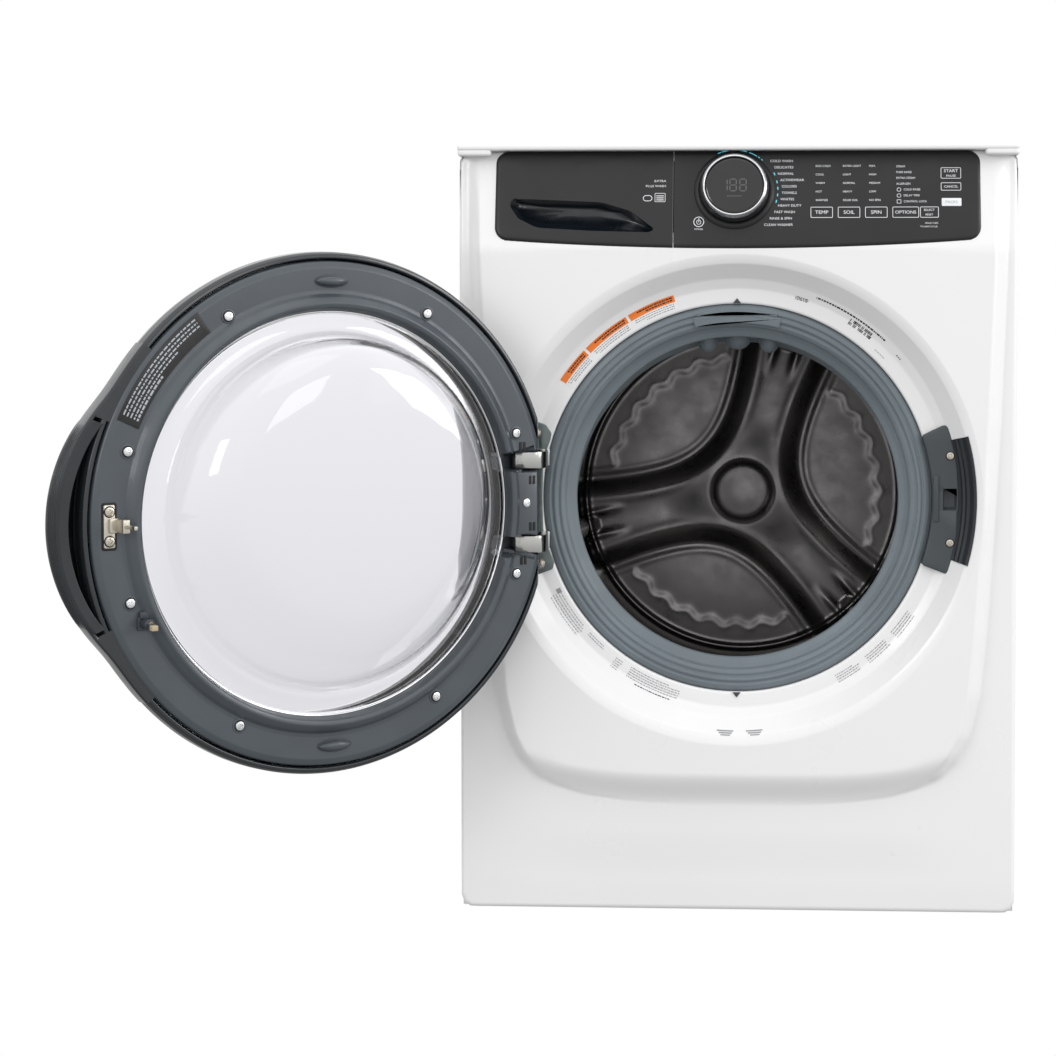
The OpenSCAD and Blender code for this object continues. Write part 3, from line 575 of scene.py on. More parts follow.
BOARD = plastic("circuit_board", (0.01, 0.09, 0.04), 0.35, 300, 0.2, 0.2, 0.3)
STONE = plastic("counterweight_stone", (0.26, 0.26, 0.25), 0.85, 160, 0.5, 0.25)
MOTOR = plastic("motor_paint", (0.12, 0.13, 0.14), 0.4, 700, 0.1, 0.1, 0.2, 0.5)
ALLOY = zinc("cast_alloy", (0.5, 0.51, 0.52), 0.5)
LATCH = plastic("latch_slate", (0.05, 0.06, 0.066), 0.38, 650, 0.1, 0.08)


# ------------------------------------------------------------------ cabinet front
def shield_half(z):
    """Half width of the raised field of the front at height z: it narrows gently to z = 232,
    then turns in along a flat arc to its lowest point at z = 152."""
    zs = np.array([140, 152, 156, 164, 176, 192, 212, 240, 290, 370, 480, 620, 800, 960.0])
    hs = np.array([0, 60, 130, 190, 226, 250, 266, 280, 292, 300, 307, 315, 322, 326.0])
    return np.interp(z, zs, hs)


def front_height(x, z):
    """Y of the front skin: border, raised field with soft flanks, and the console slope."""
    w = shield_half(z)
    side = smooth01((w + 9 - np.abs(x)) / 20)
    bottom = smooth01((z - 150 - 46 * (np.abs(x) / 300) ** 4) / 44)
    lift = side * bottom
    slope = np.clip((z - 836) / 115, 0, 1)
    plateau = PLATEAU_Y + 28 * smooth01((z - 833) / 14) * slope
    border = BORDER_Y + 12 * slope + 1.5 * smooth01((60 - z) / 60)
    y = border * (1 - lift) + plateau * lift
    # the lower field swells a little, like a shallow smile
    swell = smooth01((z - 60) / 60) * smooth01((250 - z) / 90) * smooth01((300 - np.abs(x)) / 120)
    return y - 2.2 * swell * (1 - lift)


def outer_ring(n):
    """The front panel's outline as n points that face the door axis evenly."""
    o = rounded(-HALF_W + 0.4, 18.4, HALF_W - 0.4, 957.6, 14, 10)
    a = np.linspace(0, 2 * math.pi, n, endpoint=False)
    ox = np.append(o[:, 0], o[0, 0])
    oz = np.append(o[:, 1], o[0, 1]) - DOOR_Z
    best = np.zeros(n)
    for i in range(len(ox) - 1):
        ex, ez = ox[i + 1] - ox[i], oz[i + 1] - oz[i]
        den = np.cos(a) * ez - np.sin(a) * ex
        with np.errstate(divide="ignore", invalid="ignore"):
            t = (ox[i] * ez - oz[i] * ex) / den
            s = (ox[i] * np.sin(a) - oz[i] * np.cos(a)) / den
        ok = (t > 0) & (s >= -1e-6) & (s <= 1 + 1e-6)
        best = np.where(ok, t, best)
    return a, best


def front_panel():
    """One skin in rings about the door axis: first the recess, then rings that change from the
    round rim to the panel's rectangular outline and lie on front_height, with a 7 mm edge."""
    n = 448
    a, far = outer_ring(n)
    ca, sa = np.cos(a), np.sin(a)
    b = Build()
    # collar, recess floor, wall and rim, turned about the door axis
    dish = fillet([(242, -352), (240, -352, 0.5), (240, -368, 3.5)] + RECESS, False, 8)
    rings = [np.stack([ca * q, np.full(n, y), DOOR_Z + sa * q], -1) for q, y in dish]
    # outward from the rim to the outline
    steps = np.concatenate([np.linspace(0.012, 0.9, 110), np.linspace(0.9, 1, 22)[1:]])
    for t in steps:
        q = RIM_R + (far - RIM_R) * t
        x, z = ca * q, DOOR_Z + sa * q
        y = front_height(x, z)
        near = smooth01((q - RIM_R) / 10)
        y = PLATEAU_Y * (1 - near) + y * near
        edge = far - q
        y = y + 7 * (1 - np.sqrt(np.clip(1 - ((7 - np.minimum(edge, 7)) / 7) ** 2, 0, 1)))
        rings.append(np.stack([x, y, z], -1))
    x, z = ca * far, DOOR_Z + sa * far
    for y in (-366, -361.0):
        rings.append(np.stack([x, np.full(n, y), z], -1))
    x, z = ca * (far - 2), DOOR_Z + sa * (far - 2)
    rings.append(np.stack([x, np.full(n, -361.0), z], -1))
    p = np.array(rings)

    def keep(c):
        """Leaves out what the console covers, the latch slot and the drawer's way in."""
        inside = (np.abs(c[:, 0]) < 284) & (c[:, 2] > 857) & (c[:, 2] < 944)
        slot = (np.abs(c[:, 0] - 260) < 10) & (np.abs(c[:, 2] - DOOR_Z) < 14)
        tray = (c[:, 0] > -288) & (c[:, 0] < -90) & (c[:, 2] > 851) & (c[:, 2] < 948)
        return ~(inside | slot | tray)

    b.grid(p, wrap_v=True, flip=True, keep=keep)
    ob = b.make("front_skin", WHITE, "cabinet", smooth=50, slot="white_enamel")
    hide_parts("front_panel")


front_panel()


def shell_box(x0, y0, z0, x1, y1, z1, r, rings=5):
    """A closed box with all rims rounded by r: rounded outlines lofted along Z."""
    b = Build()
    p = []
    t = np.linspace(0, math.pi / 2, rings)
    for s in t:
        p.append((r * (1 - math.sin(s)), z0 + r * (1 - math.cos(s))))
    for s in t[::-1]:
        p.append((r * (1 - math.sin(s)), z1 - r * (1 - math.cos(s))))
    base = rounded(x0, y0, x1, y1, r * 1.6, 5)
    g = []
    for d, z in p:
        q = inset(base, d) if d > 0 else base
        g.append(np.stack([q[:, 0], q[:, 1], np.full(len(q), z)], -1))
    g = np.array(g)
    b.grid(g, wrap_v=True)
    b.poly(g[0], flip=True).poly(g[-1])
    return b


def top_panel():
    """A rounded slab with a turned-down skirt."""
    b = Build()
    b.join(shell_box(-HALF_W, -391, 957.2, HALF_W, 362, 965, 3.0))
    # turned down skirt on both sides and at the back
    for x in (-1, 1):
        b.join(shell_box(x * 342.4 - 1.0 * (x > 0), -372, 951.2, x * 342.4 + 1.0 * (x < 0), 361,
                         960, 0.4, 3))
    b.join(shell_box(-341, 359.4, 951.2, 341, 361.4, 960, 0.4, 3))
    # front corners beside the console
    for x0, x1 in ((-342.5, -301), (301, 342.5)):
        b.join(shell_box(x0, -390, 951.2, x1, -366, 959.5, 2.6))
    ob = b.make("worktop", WHITE, "cabinet", slot="white_enamel")
    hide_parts("top_panel")


top_panel()


def side_panels():
    """Each side is one pressed sheet: a large field stands proud by 2.2 mm inside a soft rim,
    with a horizontal swage low down."""
    for s, name in ((-1, "left"), (1, "right")):
        ny, nz = 121, 161
        y = np.linspace(-360, 360, ny)
        z = np.linspace(18, 951, nz)
        Y, Z = np.meshgrid(y, z, indexing="ij")
        d = np.minimum(np.minimum(Y + 330, 330 - Y), np.minimum(Z - 70, 905 - Z))
        field = smooth01(d / 16) * 1.6
        swage = smooth01((9 - np.abs(Z - 190)) / 7) * smooth01((Y + 270)
                                                               / 20) * smooth01((270 - Y) / 20)
        out = HALF_W - 2.2 + field - 1.17 * swage
        p = np.stack([s * out, Y, Z], -1)
        b = Build().grid(p, flip=s < 0)
        # rolled edges, front and back
        for yy in (-360, 360):
            k = 1 if yy < 0 else -1
            x0 = s * (HALF_W - 2.2)
            g = np.array([[(x0, yy, zz) for zz in (18, 951)],
                          [(s * (HALF_W - 4), yy, zz) for zz in (18, 951)]] +
                         [[(s * (HALF_W - 14), yy + 0.8 * k, zz) for zz in (18, 951)]])
            b.grid(g, flip=(s * k) < 0)
        g = np.array([[(s * (HALF_W - 2.2), yy, 18) for yy in (-360, 360)],
                      [(s * (HALF_W - 12), yy, 18.6) for yy in (-360, 360)]])
        b.grid(g, flip=s > 0)
        ob = b.make(name + "_side_skin", WHITE, "cabinet", slot="white_enamel")
        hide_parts(name + "_side_panel")


side_panels()


REAR_Z = 470                    # centre of the rear access hole


def rear():
    """The back sheet has upright ribs and a round pressed ring about its access hole."""
    nx, nz = 200, 250
    x = np.linspace(-340, 340, nx)
    z = np.linspace(22, 950, nz)
    X, Z = np.meshgrid(x, z, indexing="ij")
    r = np.hypot(X, Z - REAR_Z)
    ribs = np.zeros_like(X)
    for c in (-262, -214, 214, 262):
        ribs = np.maximum(ribs, smooth01((9 - np.abs(X - c)) / 7) * smooth01((Z - 170) / 20)
                          * smooth01((800 - Z) / 20))
    ring = smooth01((8 - np.abs(r - 186)) / 6)
    low = smooth01((8 - np.abs(Z - 40)) / 6) * smooth01((300 - np.abs(X)) / 20)
    Y = 360 - 2.4 * np.maximum(np.maximum(ribs, ring), low)
    p = np.stack([X, Y, Z], -1)

    b = Build().grid(p, keep=lambda c: np.hypot(c[:, 0], c[:, 2] - REAR_Z) > 152)
    b.grid(np.array([[(-340, 360, 22), (340, 360, 22)], [(-340, 357, 22), (340, 357, 22)]], float),
           flip=False)
    ob = b.make("rear_skin", WHITE_BACK, "cabinet", slot="white_enamel")
    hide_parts("rear_panel")
    c = Build()
    prof = [(0, 361.2), (60, 361.2), (104, 361.2, 3), (112, 364.6, 3), (120, 364.6, 3),
            (128, 361.2, 3),
            (166, 361.2, 1.5), (168, 360.05)]
    c.join(lathe(prof, 160, closed=False), raised(REAR_Z))
    c.join(slab(rounded(-72, 52, 72, 138, 6), 360.05, 361.5, 0.5))
    for k in range(5):
        c.join(slab(rounded(-46, 68 + k * 12, 46, 72 + k * 12, 1.9), 361.3, 362.6, 0.5))
    ob = c.make("rear_cover", WHITE_BACK, "cabinet", slot="white_enamel")
    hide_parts("rear_access_cover")


rear()


# ------------------------------------------------------------------ gasket
def gasket():
    """A folded rubber ring. Its front bead and grooves turn about the door axis; the bellows
    behind them turn about the lower drum axis, and each ring in between is a mix of the two."""
    prof = [(226, -352), (233, -356), (239.6, -356, 1), (239.6, -362, 1.5), (236.5, -366.8, 3),
            (231, -368.6, 2.5),
            (229.4, -366.2, 0.8), (228, -366.6, 0.8), (226, -368.4, 2), (222.8, -367.8, 2),
            (221.6, -364.6, 0.8),
            (220, -364.8, 0.8), (217.5, -365.6, 2.5), (213, -362.6, 3), (211.5, -357, 3),
            (206.5, -353, 4),
            (199.8, -349.5, 3), (199, -345, 2), (203, -340, 5), (207.5, -331, 6), (206.6, -318, 6),
            (207, -303, 8),
            (204.2, -291, 2), (204.6, -288.4, 1.2), (207.2, -289, 2), (212, -294, 5),
            (214.5, -306, 6), (224, -312, 6),
            (228.5, -304, 5), (228, -284, 6), (231, -272, 6), (233.2, -266, 2), (233.2, -257, 2),
            (236, -257, 1), (236, -268, 3),
            (231.5, -284, 6), (231.5, -312, 6), (228, -322, 5), (226, -340, 5)]
    pr = fillet(prof, True, 4)
    n = 288
    a = np.linspace(0, 2 * math.pi, n, endpoint=False)
    r, y = pr[:, 0], pr[:, 1]
    t = smooth01((y + 338) / 40)
    drop = -12 * t
    lean = math.sin(TILT) * t
    X = np.cos(a)[:, None] * r
    Z = np.sin(a)[:, None] * r
    Y = y[None, :] + lean * Z
    p = np.stack([X, Y, Z + DOOR_Z + drop], -1)
    # the duct block presses a broad tongue into the bead at the top
    ang = np.abs((a - math.pi / 2 + math.pi) % (2 * math.pi) - math.pi)[:, None]
    tong = smooth01((0.215 - ang) / 0.02) * smooth01((r[None,
                                                        :] - 215)
                                                     / 6) * smooth01((-355 - y[None, :]) / 3)
    p[..., 1] -= 1.6 * tong
    b = Build().grid(p, wrap_u=True, wrap_v=True, flip=True)
    # duct block, with a second step
    for w, z0, z1, yy in ((56, 216, 229, -369.5), (50, 228.5, 233.5, -370.6)):
        aa = np.linspace(math.pi / 2 + w / 232, math.pi / 2 - w / 232, 40)
        inner = np.stack([np.cos(aa) * z0, np.sin(aa) * z0], -1)
        outer = np.stack([np.cos(aa[::-1]) * z1, np.sin(aa[::-1]) * z1], -1)
        o = fillet([tuple(q) + (1.2,) for q in np.concatenate([inner, outer])], True, 2)
        b.join(slab(o, yy, -352, 1.6), at_door_axis)
    # spray nozzles under the top of the bellows
    for q, w in ((-0.19, 13), (0.0, 17), (0.20, 13)):
        th = np.linspace(0, 2 * math.pi, 28, endpoint=False)
        ks = np.linspace(0, 1, 24)
        K, T = np.meshgrid(ks, th, indexing="ij")
        rad = w * np.sqrt(np.clip(1 - K ** 2.4, 0, 1))
        cx, cz = 200 * math.sin(q), 206 * math.cos(q)
        g = np.stack([cx + rad * np.cos(T), -305 + 17 * np.sin(T) * rad / w,
                      cz - 13.5 * K + 4 * (1 - K)], -1)
        b.join(Build().grid(g, wrap_v=True, flip=True), lambda v: v
               + np.array([0, 0, DOOR_Z - 10.0]))
    ob = b.make("door_gasket", RUBBER, "cabinet", smooth=42, slot="gasket_rubber")
    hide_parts("gasket")
    # small dark arrows moulded at the top and bottom of the recess, and the drain slot below,
    # filled with a dark plate as painted shade
    c = Build()
    for s in (1, -1):
        c.join(slab([(-5, s * 240.6), (5, s * 240.6), (0, s * 247.0)], -369.3, -367.9, 0.3),
               at_door_axis)
    c.make("gasket_arrows", SLATE_DARK, "cabinet", slot="dark_plastic")
    aa = np.linspace(-math.pi / 2 - 0.085, -math.pi / 2 + 0.085, 16)
    sl = np.concatenate([np.stack([np.cos(aa) * 203.2, np.sin(aa) * 203.2], -1),
                         np.stack([np.cos(aa[::-1]) * 200.2, np.sin(aa[::-1]) * 200.2], -1)])
    # the slot is real; its dark plate is painted shade in the opening
    slab(sl, -290.2, -287, 0.4).make("gasket_drain_slot_shade", PAINTED_SHADE, "cabinet",
                                     lambda v: v + np.array([0, -12.0, DOOR_Z - 12.5]),
                                     slot="dark_plastic")


gasket()


# ------------------------------------------------------------------ drum
PETALS = [math.radians(q) for q in (133, 253, 13)]
ARMS = [math.radians(q) for q in (73, 193, 313)]


def steel(name, c, rough, holes=None, dist=0.0004):
    """Dark brushed stainless; `holes` is the pitch in metres of a round-hole pattern in UV."""
    m = Mat(name, c, rough, 1.0)
    n = m.noise(30, 3, 0.6, (1, 6, 1))
    m.set("Roughness", n.span(0.25, 0.75, rough * 0.8, rough * 1.25))
    base = m.mix(m.noise(5, 3).span(0.3, 0.7), shade(c, 0.85), shade(c, 1.1))
    if holes:
        uv = m.node("ShaderNodeTexCoord", out=2)
        u = m.node("ShaderNodeSeparateXYZ", {0: uv}, out=0) * holes[0]
        v = m.node("ShaderNodeSeparateXYZ", {0: uv}, out=1) * holes[1]
        row = v.fn("FLOOR")
        fu = (u + row * 0.5).fn("FRACT") - 0.5
        fv = v.fn("FRACT") - 0.5
        d = (fu * fu + fv * fv * holes[2]).fn("SQRT")
        hole = d.span(0.15, 0.19, 1.0, 0.0)
        # the holes are real; their near-black fill is painted shade seen through them
        base = m.mix(hole, base, (0.006, 0.006, 0.006))
        m.set("Base Color", base)
        m.bump(d.span(0.13, 0.3) + n * 0.03, 0.6, 0.0016)
    else:
        m.set("Base Color", base)
        m.bump(n, 0.05, dist)
    return m.m


STEEL_BACK = steel("drum_back_steel", (0.22, 0.213, 0.21), 0.32)
STEEL_WALL = steel("drum_wall_steel", (0.2, 0.195, 0.19), 0.26, (150, 42, 1.0))
STEEL_PLAIN = steel("drum_plain_steel", (0.33, 0.325, 0.32), 0.26)


def petal_field(x, z):
    """Signed distance into the nearest petal of the back: each is bounded towards the hub by
    the hyperbola u = sqrt(94^2 + (0.95 v)^2) in its own frame. Positive is inside."""
    best = np.full_like(x, -1e9)
    for q in PETALS:
        u = x * math.cos(q) + z * math.sin(q)
        v = -x * math.sin(q) + z * math.cos(q)
        h = np.sqrt(94.0 ** 2 + (0.95 * v) ** 2)
        slope = 0.9 * v / h
        best = np.maximum(best, (u - h) / np.sqrt(1 + slope ** 2))
    return best


def back_height(x, z):
    """How far the back stands towards the door, in mm, over its base plane."""
    r = np.hypot(x, z)
    s = petal_field(x, z)
    ang = np.arctan2(z, x)
    star = 10 * smooth01((-s - 6) / 30) + 0.9 * np.exp(-((s + 37) / 7) ** 2)
    star = star - 2.0 * np.exp(-((s + 5) / 8.0) ** 2) + 1.0 * np.exp(-((s - 3) / 5) ** 2)
    # arms hollow slightly along their middle and swell at the hub
    for q in ARMS:
        u = x * math.cos(q) + z * math.sin(q)
        v = -x * math.sin(q) + z * math.cos(q)
        on = smooth01((u - 60) / 60)
        star = star - 3.5 * on * np.exp(-(v / 26) ** 2)
            # tongues and a raised pad at the outer end
        tip = smooth01((u - 168) / 50)
        for o in (-17, 17):
            star = star + 4.0 * tip * np.exp(-((v - o) / 6.0) ** 2) * smooth01((250 - u) / 8)
        star = star + 5.0 * smooth01((u - 214) / 12) * smooth01((14 - np.abs(v)) / 8)
    boss = 8 * np.exp(-(r / 66) ** 3) + 4.5 * smooth01((50 - r)
                                                       / 14) - 1.0 * np.exp(-((r - 42) / 6.0) ** 2)
    boss = boss + 2.0 * smooth01((34 - r) / 30)
    # scalloped band inside each petal's outer edge
    wave = 3.6 * np.cos(ang * 33)
    inside = smooth01((s - 4) / 10)
    band = r - (196 + wave)
    petal = inside * (2.2 * smooth01((band + 6) / 13) + 0.5 * np.exp(-(band / 6.0) ** 2))
    rim = 5.0 * np.exp(-((r - 231) / 4.5) ** 2)
    edge = smooth01((272 - r) / 6)
    return (star + boss + petal) * smooth01((252 - r) / 12) + rim * edge


def drum():
    """The back is back_height over a disc, the wall a cylinder with dents in a cosine grid,
    the front ring a turned lip, and each lifter a ridge carried along the wall."""
    nr, na = 210, 540
    t = np.linspace(0, 1, nr)
    r = 274.6 * t
    a = np.linspace(0, 2 * math.pi, na, endpoint=False)
    R, A = np.meshgrid(r, a, indexing="ij")
    X, Z = R * np.cos(A), R * np.sin(A)
    H = back_height(X, Z)
    p = np.stack([X, 540.5 - H - 1.0, Z], -1)
    b = Build().grid(p[1:], wrap_v=True, flip=True)
    b.grid(np.stack([p[1], np.broadcast_to(p[1].mean(0), p[1].shape)], 0), wrap_v=True, flip=False)
    back = lathe([(0.01, 541.8), (274.6, 541.8), (274.6, 539.5)], 160, closed=False)
    b.join(back)
    ob = b.make("drum_back_pressing", STEEL_BACK, "drum", drum_place, smooth=60, slot="drum_steel")
    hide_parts("drum_back")

    # wall: inside skin with a dense hole pattern, gently embossed between the lifters
    nv, nu = 60, 540
    u = np.linspace(0, 2 * math.pi, nu, endpoint=True)
    v = np.linspace(0, 1, nv)
    U, V = np.meshgrid(u, v, indexing="ij")
    y = 98 + 441.6 * V
    dent = 1.4 * (0.5 + 0.5 * np.cos(U * 36)) * (0.5 + 0.5 * np.cos(V * 2 * math.pi * 9))
    dent = dent * smooth01(V / 0.06) * smooth01((1 - V) / 0.06)
    rad = 275 - dent
    g = np.stack([rad * np.cos(U), y, rad * np.sin(U)], -1)
    w = Build().grid(g, flip=False)
    outer = np.stack([276.4 * np.cos(U[:, ::59]), y[:, ::59], 276.4 * np.sin(U[:, ::59])], -1)
    w.grid(outer, flip=True)
    ob = w.make("drum_wall", STEEL_WALL, "drum", drum_place, smooth=50, slot="drum_steel")
    ring = lathe([(276.6, 104), (279, 104), (279, 95.4, 2), (273, 92, 3), (240, 90.4, 6),
                  (227, 86.2, 4), (214.4, 88, 3),
                  (212.2, 96, 2), (213.6, 101, 1.5), (216.6, 100, 1.5), (217.5, 92.5, 3),
                  (227, 89.6, 4), (240, 93, 6),
                  (272, 94.6, 3), (276.6, 99, 1)], 288)
    fr = ring.make("drum_front_ring", STEEL_PLAIN, "drum", drum_place, smooth=50, slot="drum_steel")
    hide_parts("drum_shell")
    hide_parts("drum_shell")

    # lifters: crowned ridges with a fine bead along both flanks
    c = Build()
    for q in ARMS:
        ny, ns = 64, 45
        yy = np.linspace(137, 525, ny)
        s = np.linspace(-1, 1, ns)
        Y, S = np.meshgrid(yy, s, indexing="ij")
        end = np.clip(np.minimum(Y - 137, 525 - Y) / 26, 0, 1)
        end = np.sqrt(1 - (1 - end) ** 2)
        h = 45 * end * (1 - np.abs(S) ** 2.3) ** 0.9 * (1 - 0.06
                                                        * np.cos((Y - 137) / 388 * 4 * math.pi))
        h = h + 1.2 * np.exp(-((np.abs(S) - 0.62) / 0.07) ** 2) * end
        half = 34 - 4 * (1 - end)
        x = np.sqrt(274.6 ** 2 - (half * S) ** 2) - h
        g = np.stack([x, Y, half * S * (1 - 0.25 * (h / 46))], -1)
        ca, sa = math.cos(q), math.sin(q)
        g = np.stack([g[..., 0] * ca - g[..., 2] * sa, g[..., 1], g[..., 0] * sa + g[..., 2] * ca],
                     -1)
        c.grid(g, flip=True)
    ob = c.make("drum_lifters", STEEL_PLAIN, "drum", drum_place, smooth=60, slot="drum_steel")
    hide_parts("lifters")


drum()


# ------------------------------------------------------------------ door
def glassy(name, c, rough=0.0, ior=1.45):
    """Clear glass."""
    m = Mat(name, c, rough, 0, 0, Transmission_Weight=1.0, IOR=ior)
    m.set("Roughness", m.noise(5, 2).span(0.3, 0.7, rough, rough + 0.012))
    return m.m


GLASS = glassy("bowl_glass", (0.985, 0.988, 0.995))
WINDOW = glassy("outer_window_glass", (0.95, 0.948, 0.985), 0.0, 1.12)
RING = plastic("door_ring_gloss", (0.022, 0.026, 0.03), 0.22, 2400, 0.02, 0.1, 0.4, 0.25)
FRAME = plastic("door_frame_slate", (0.06, 0.072, 0.084), 0.36, 900, 0.06, 0.06, 0.15)
GRIP = plastic("grip_soft", (0.013, 0.016, 0.02), 0.48, 900, 0.1, 0.12)
WARM_STEEL = metal("strike_steel", (0.62, 0.58, 0.5), 0.25, scale=400)


def spline(pts, n):
    """A smooth line through the points: cubic pieces with the slope of the neighbours' chord."""
    p = np.asarray(pts, float)
    d = np.maximum(np.linalg.norm(np.diff(p, axis=0), axis=1) ** 0.5, 1e-6)
    t = np.concatenate([[0], np.cumsum(d)])
    m = np.gradient(p, t, axis=0)
    q = np.linspace(0, t[-1], n)
    i = np.clip(np.searchsorted(t, q, side="right") - 1, 0, len(p) - 2)
    h = (t[i + 1] - t[i])[:, None]
    s = ((q - t[i]) / (t[i + 1] - t[i]))[:, None]
    return ((1 + 2 * s) * (1 - s) ** 2 * p[i] + s * (1 - s) ** 2 * h * m[i]
            + s * s * (3 - 2 * s) * p[i + 1] + s * s * (s - 1) * h * m[i + 1])


def handle_reach(a):
    """Radius of the door's rim at angle a: the ring's 300 blended into a lobe of radius 188
    that is centred 140 towards the handle."""
    lobe = 140 * np.cos(a) + np.sqrt(np.maximum(188.0 ** 2 - (140 * np.sin(a)) ** 2, 1))
    lobe = np.where(np.cos(a) > 0.2, lobe, 0)
    return 0.5 * (299.4 + lobe + np.sqrt((299.4 - lobe) ** 2 + 60))


NOTCH = ((39.4, 61.8), (-63.0, -40.2))


def hinge_side(b):
    """Trims a door shell on its hinge side: a slanted flat, and two notches for the straps."""
    for v in b.v:
        x, y, z = v[:, 0], v[:, 1], v[:, 2]
        side = x < -150
        lim = np.minimum(-275.8, -264 - (23.5 - 0.6157 * (y + 424)) / 0.788)
        v[:, 0] = np.where(side, np.maximum(x, lim), x)
        for z0, z1 in NOTCH:
            hit = (v[:, 0] < -226) & (z > z0) & (z < z1) & (y > -432)
            v[:, 1] = np.where(hit, -432, v[:, 1])
    return b


def outer_ring_piece():
    """A turned ring, and the handle's lobe: one section whose outer end follows handle_reach.
    The soft grip is a strip over the lobe's edge with long ribs."""
    prof = [(233.5, -437), (233, -446.5, 1), (237, -448.9, 1), (266, -448.9, 12),
            (288, -444.6, 10), (297.3, -434.5, 8),
            (300, -422, 8), (299.2, -410, 5), (296.6, -404.8, 2.2), (292.2, -404.2, 1.4),
            (291, -408, 1), (292.6, -424, 6),
            (290, -435, 6), (282, -440.5, 5), (262, -444.4), (238, -444.4), (237, -437)]
    b = hinge_side(lathe(prof, 640))
    n = 150
    a = np.linspace(-0.72, 0.72, n)
    R = handle_reach(a)
    z = R * np.sin(a)
    deep = smooth01((121 - np.abs(z)) / 5)
    floor = -404.6 - 31.5 * deep
    rows = []
    for k in range(n):
        r = R[k]
        pts = [(286, -441), (max(r - 13, 287), -441.3, 9), (r, -431, 9), (r, -406, 2),
               (r - 1.5, -404.4, 1),
               (r - 4.2, -404.4, 0.6), (r - 4.6 - 4 * deep[k], floor[k] + 0.2, 3),
               (291, floor[k] + 0.2, 0.5), (286, floor[k] + 0.2)]
        q = fillet(pts, False, 4, True)
        rows.append(np.stack([q[:, 0] * math.cos(a[k]), q[:, 1], q[:, 0] * math.sin(a[k])], -1))
    c = Build().grid(np.array(rows), wrap_v=True)
    b.join(c)
    ob = b.make("door_outer_ring", RING, "door", open_door, smooth=45, slot="titanium_plastic")
    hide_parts("door_outer_ring")
    # soft grip: wraps the lobe's edge
    rows = []
    a = np.linspace(-0.385, 0.385, 110)
    R = handle_reach(a)
    end = np.sqrt(1 - (np.abs(a) / 0.386) ** 12)
    s = np.linspace(0, 1, 90)
    for k in range(len(a)):
        r = R[k]
        q = fillet([(r - 1.4, -436), (r + 0.2, -430, 4), (r + 0.2, -405.5, 5), (r - 3, -402.6, 3),
                    (r - 15, -403.4, 1), (r - 15.5, -406)], False, 8)
        d = np.concatenate([[0], np.cumsum(np.linalg.norm(np.diff(q, axis=0), axis=1))])
        x = np.interp(s * d[-1], d, q[:, 0])
        y = np.interp(s * d[-1], d, q[:, 1])
        u = s * d[-1]
        rib = 0.9 * np.clip(np.cos((u - 12) / 5.2 * 2 * math.pi), -0.2,
                            1) * smooth01((u - 8) / 3) * smooth01((37 - u) / 3)
        x = x + rib * 0.8 * end[k] - (1 - end[k]) * 2.5
        y = y + rib * 0.5 * end[k]
        rows.append(np.stack([x * math.cos(a[k]), y, x * math.sin(a[k])], -1))
    g = Build().grid(np.array(rows))
    ob = g.make("handle_grip", GRIP, "door", open_door, smooth=50, slot="dark_plastic")
    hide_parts("handle_grip")


def door_glass():
    """The bowl is a turned spline with a wall; its nose is pushed up by the third column."""
    out = spline([(231.6, -411, 0), (231.6, -407, 0), (230, -405.2, 0), (218, -404.6, 0),
                  (209, -402, 0.5), (203, -395, 2),
                  (197, -383, 6), (187, -366, 13), (175, -350, 19), (163, -340, 22.5),
                  (148, -332.5, 25.5), (128, -328.6, 27),
                  (96, -326.4, 27), (60, -325.7, 27), (24, -325.4, 27), (0.02, -325.3, 27)], 120)
    t = np.gradient(out[:, :2], axis=0)
    t /= np.linalg.norm(t, axis=1, keepdims=True)
    nrm = np.stack([-t[:, 1], t[:, 0]], -1)
    inn = out.copy()
    inn[:, :2] = out[:, :2] + 4.6 * nrm
    inn = inn[(inn[:, 0] > 0) & (inn[:, 1] > -412.2)]
    inn = inn[8:]
    inn[-1, 0] = 0.02
    line = np.concatenate([inn[::-1], [[228, -411.4, 0]], out])
    a = np.linspace(0, 2 * math.pi, 240, endpoint=False)
    g = np.stack([np.cos(a)[:, None] * line[:, 0], np.broadcast_to(line[:, 1], (240, len(line))),
                  np.sin(a)[:, None] * line[:, 0] + line[:, 2]], -1)
    ob = Build().grid(g, wrap_u=True).make("door_bowl", GLASS, "door", open_door, smooth=80,
                                           slot="clear_glass")
    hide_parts("door_glass_bowl")
    win = lathe([(0.02, -448.6), (232.4, -448.6, 0.8), (232.4, -446.4, 0.8), (0.02, -446.4)], 200,
                closed=False)
    ob = win.make("door_window", WINDOW, "door", open_door, slot="window_glass")
    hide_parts("door_window")
    # retainer: a thin bright bead on a dark seat
    bead = lathe([(230.2, -405.6), (230.6, -403.6, 0.8), (232.4, -403.4, 0.8), (233, -405.6)], 240)
    ob = bead.make("glass_bead", CHROME, "door", open_door, slot="bright_chrome")
    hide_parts("glass_retainer")


FRAME_SCREWS = (18, 60.5, 118.5, 161, 180, 199, 239, 297, 341)


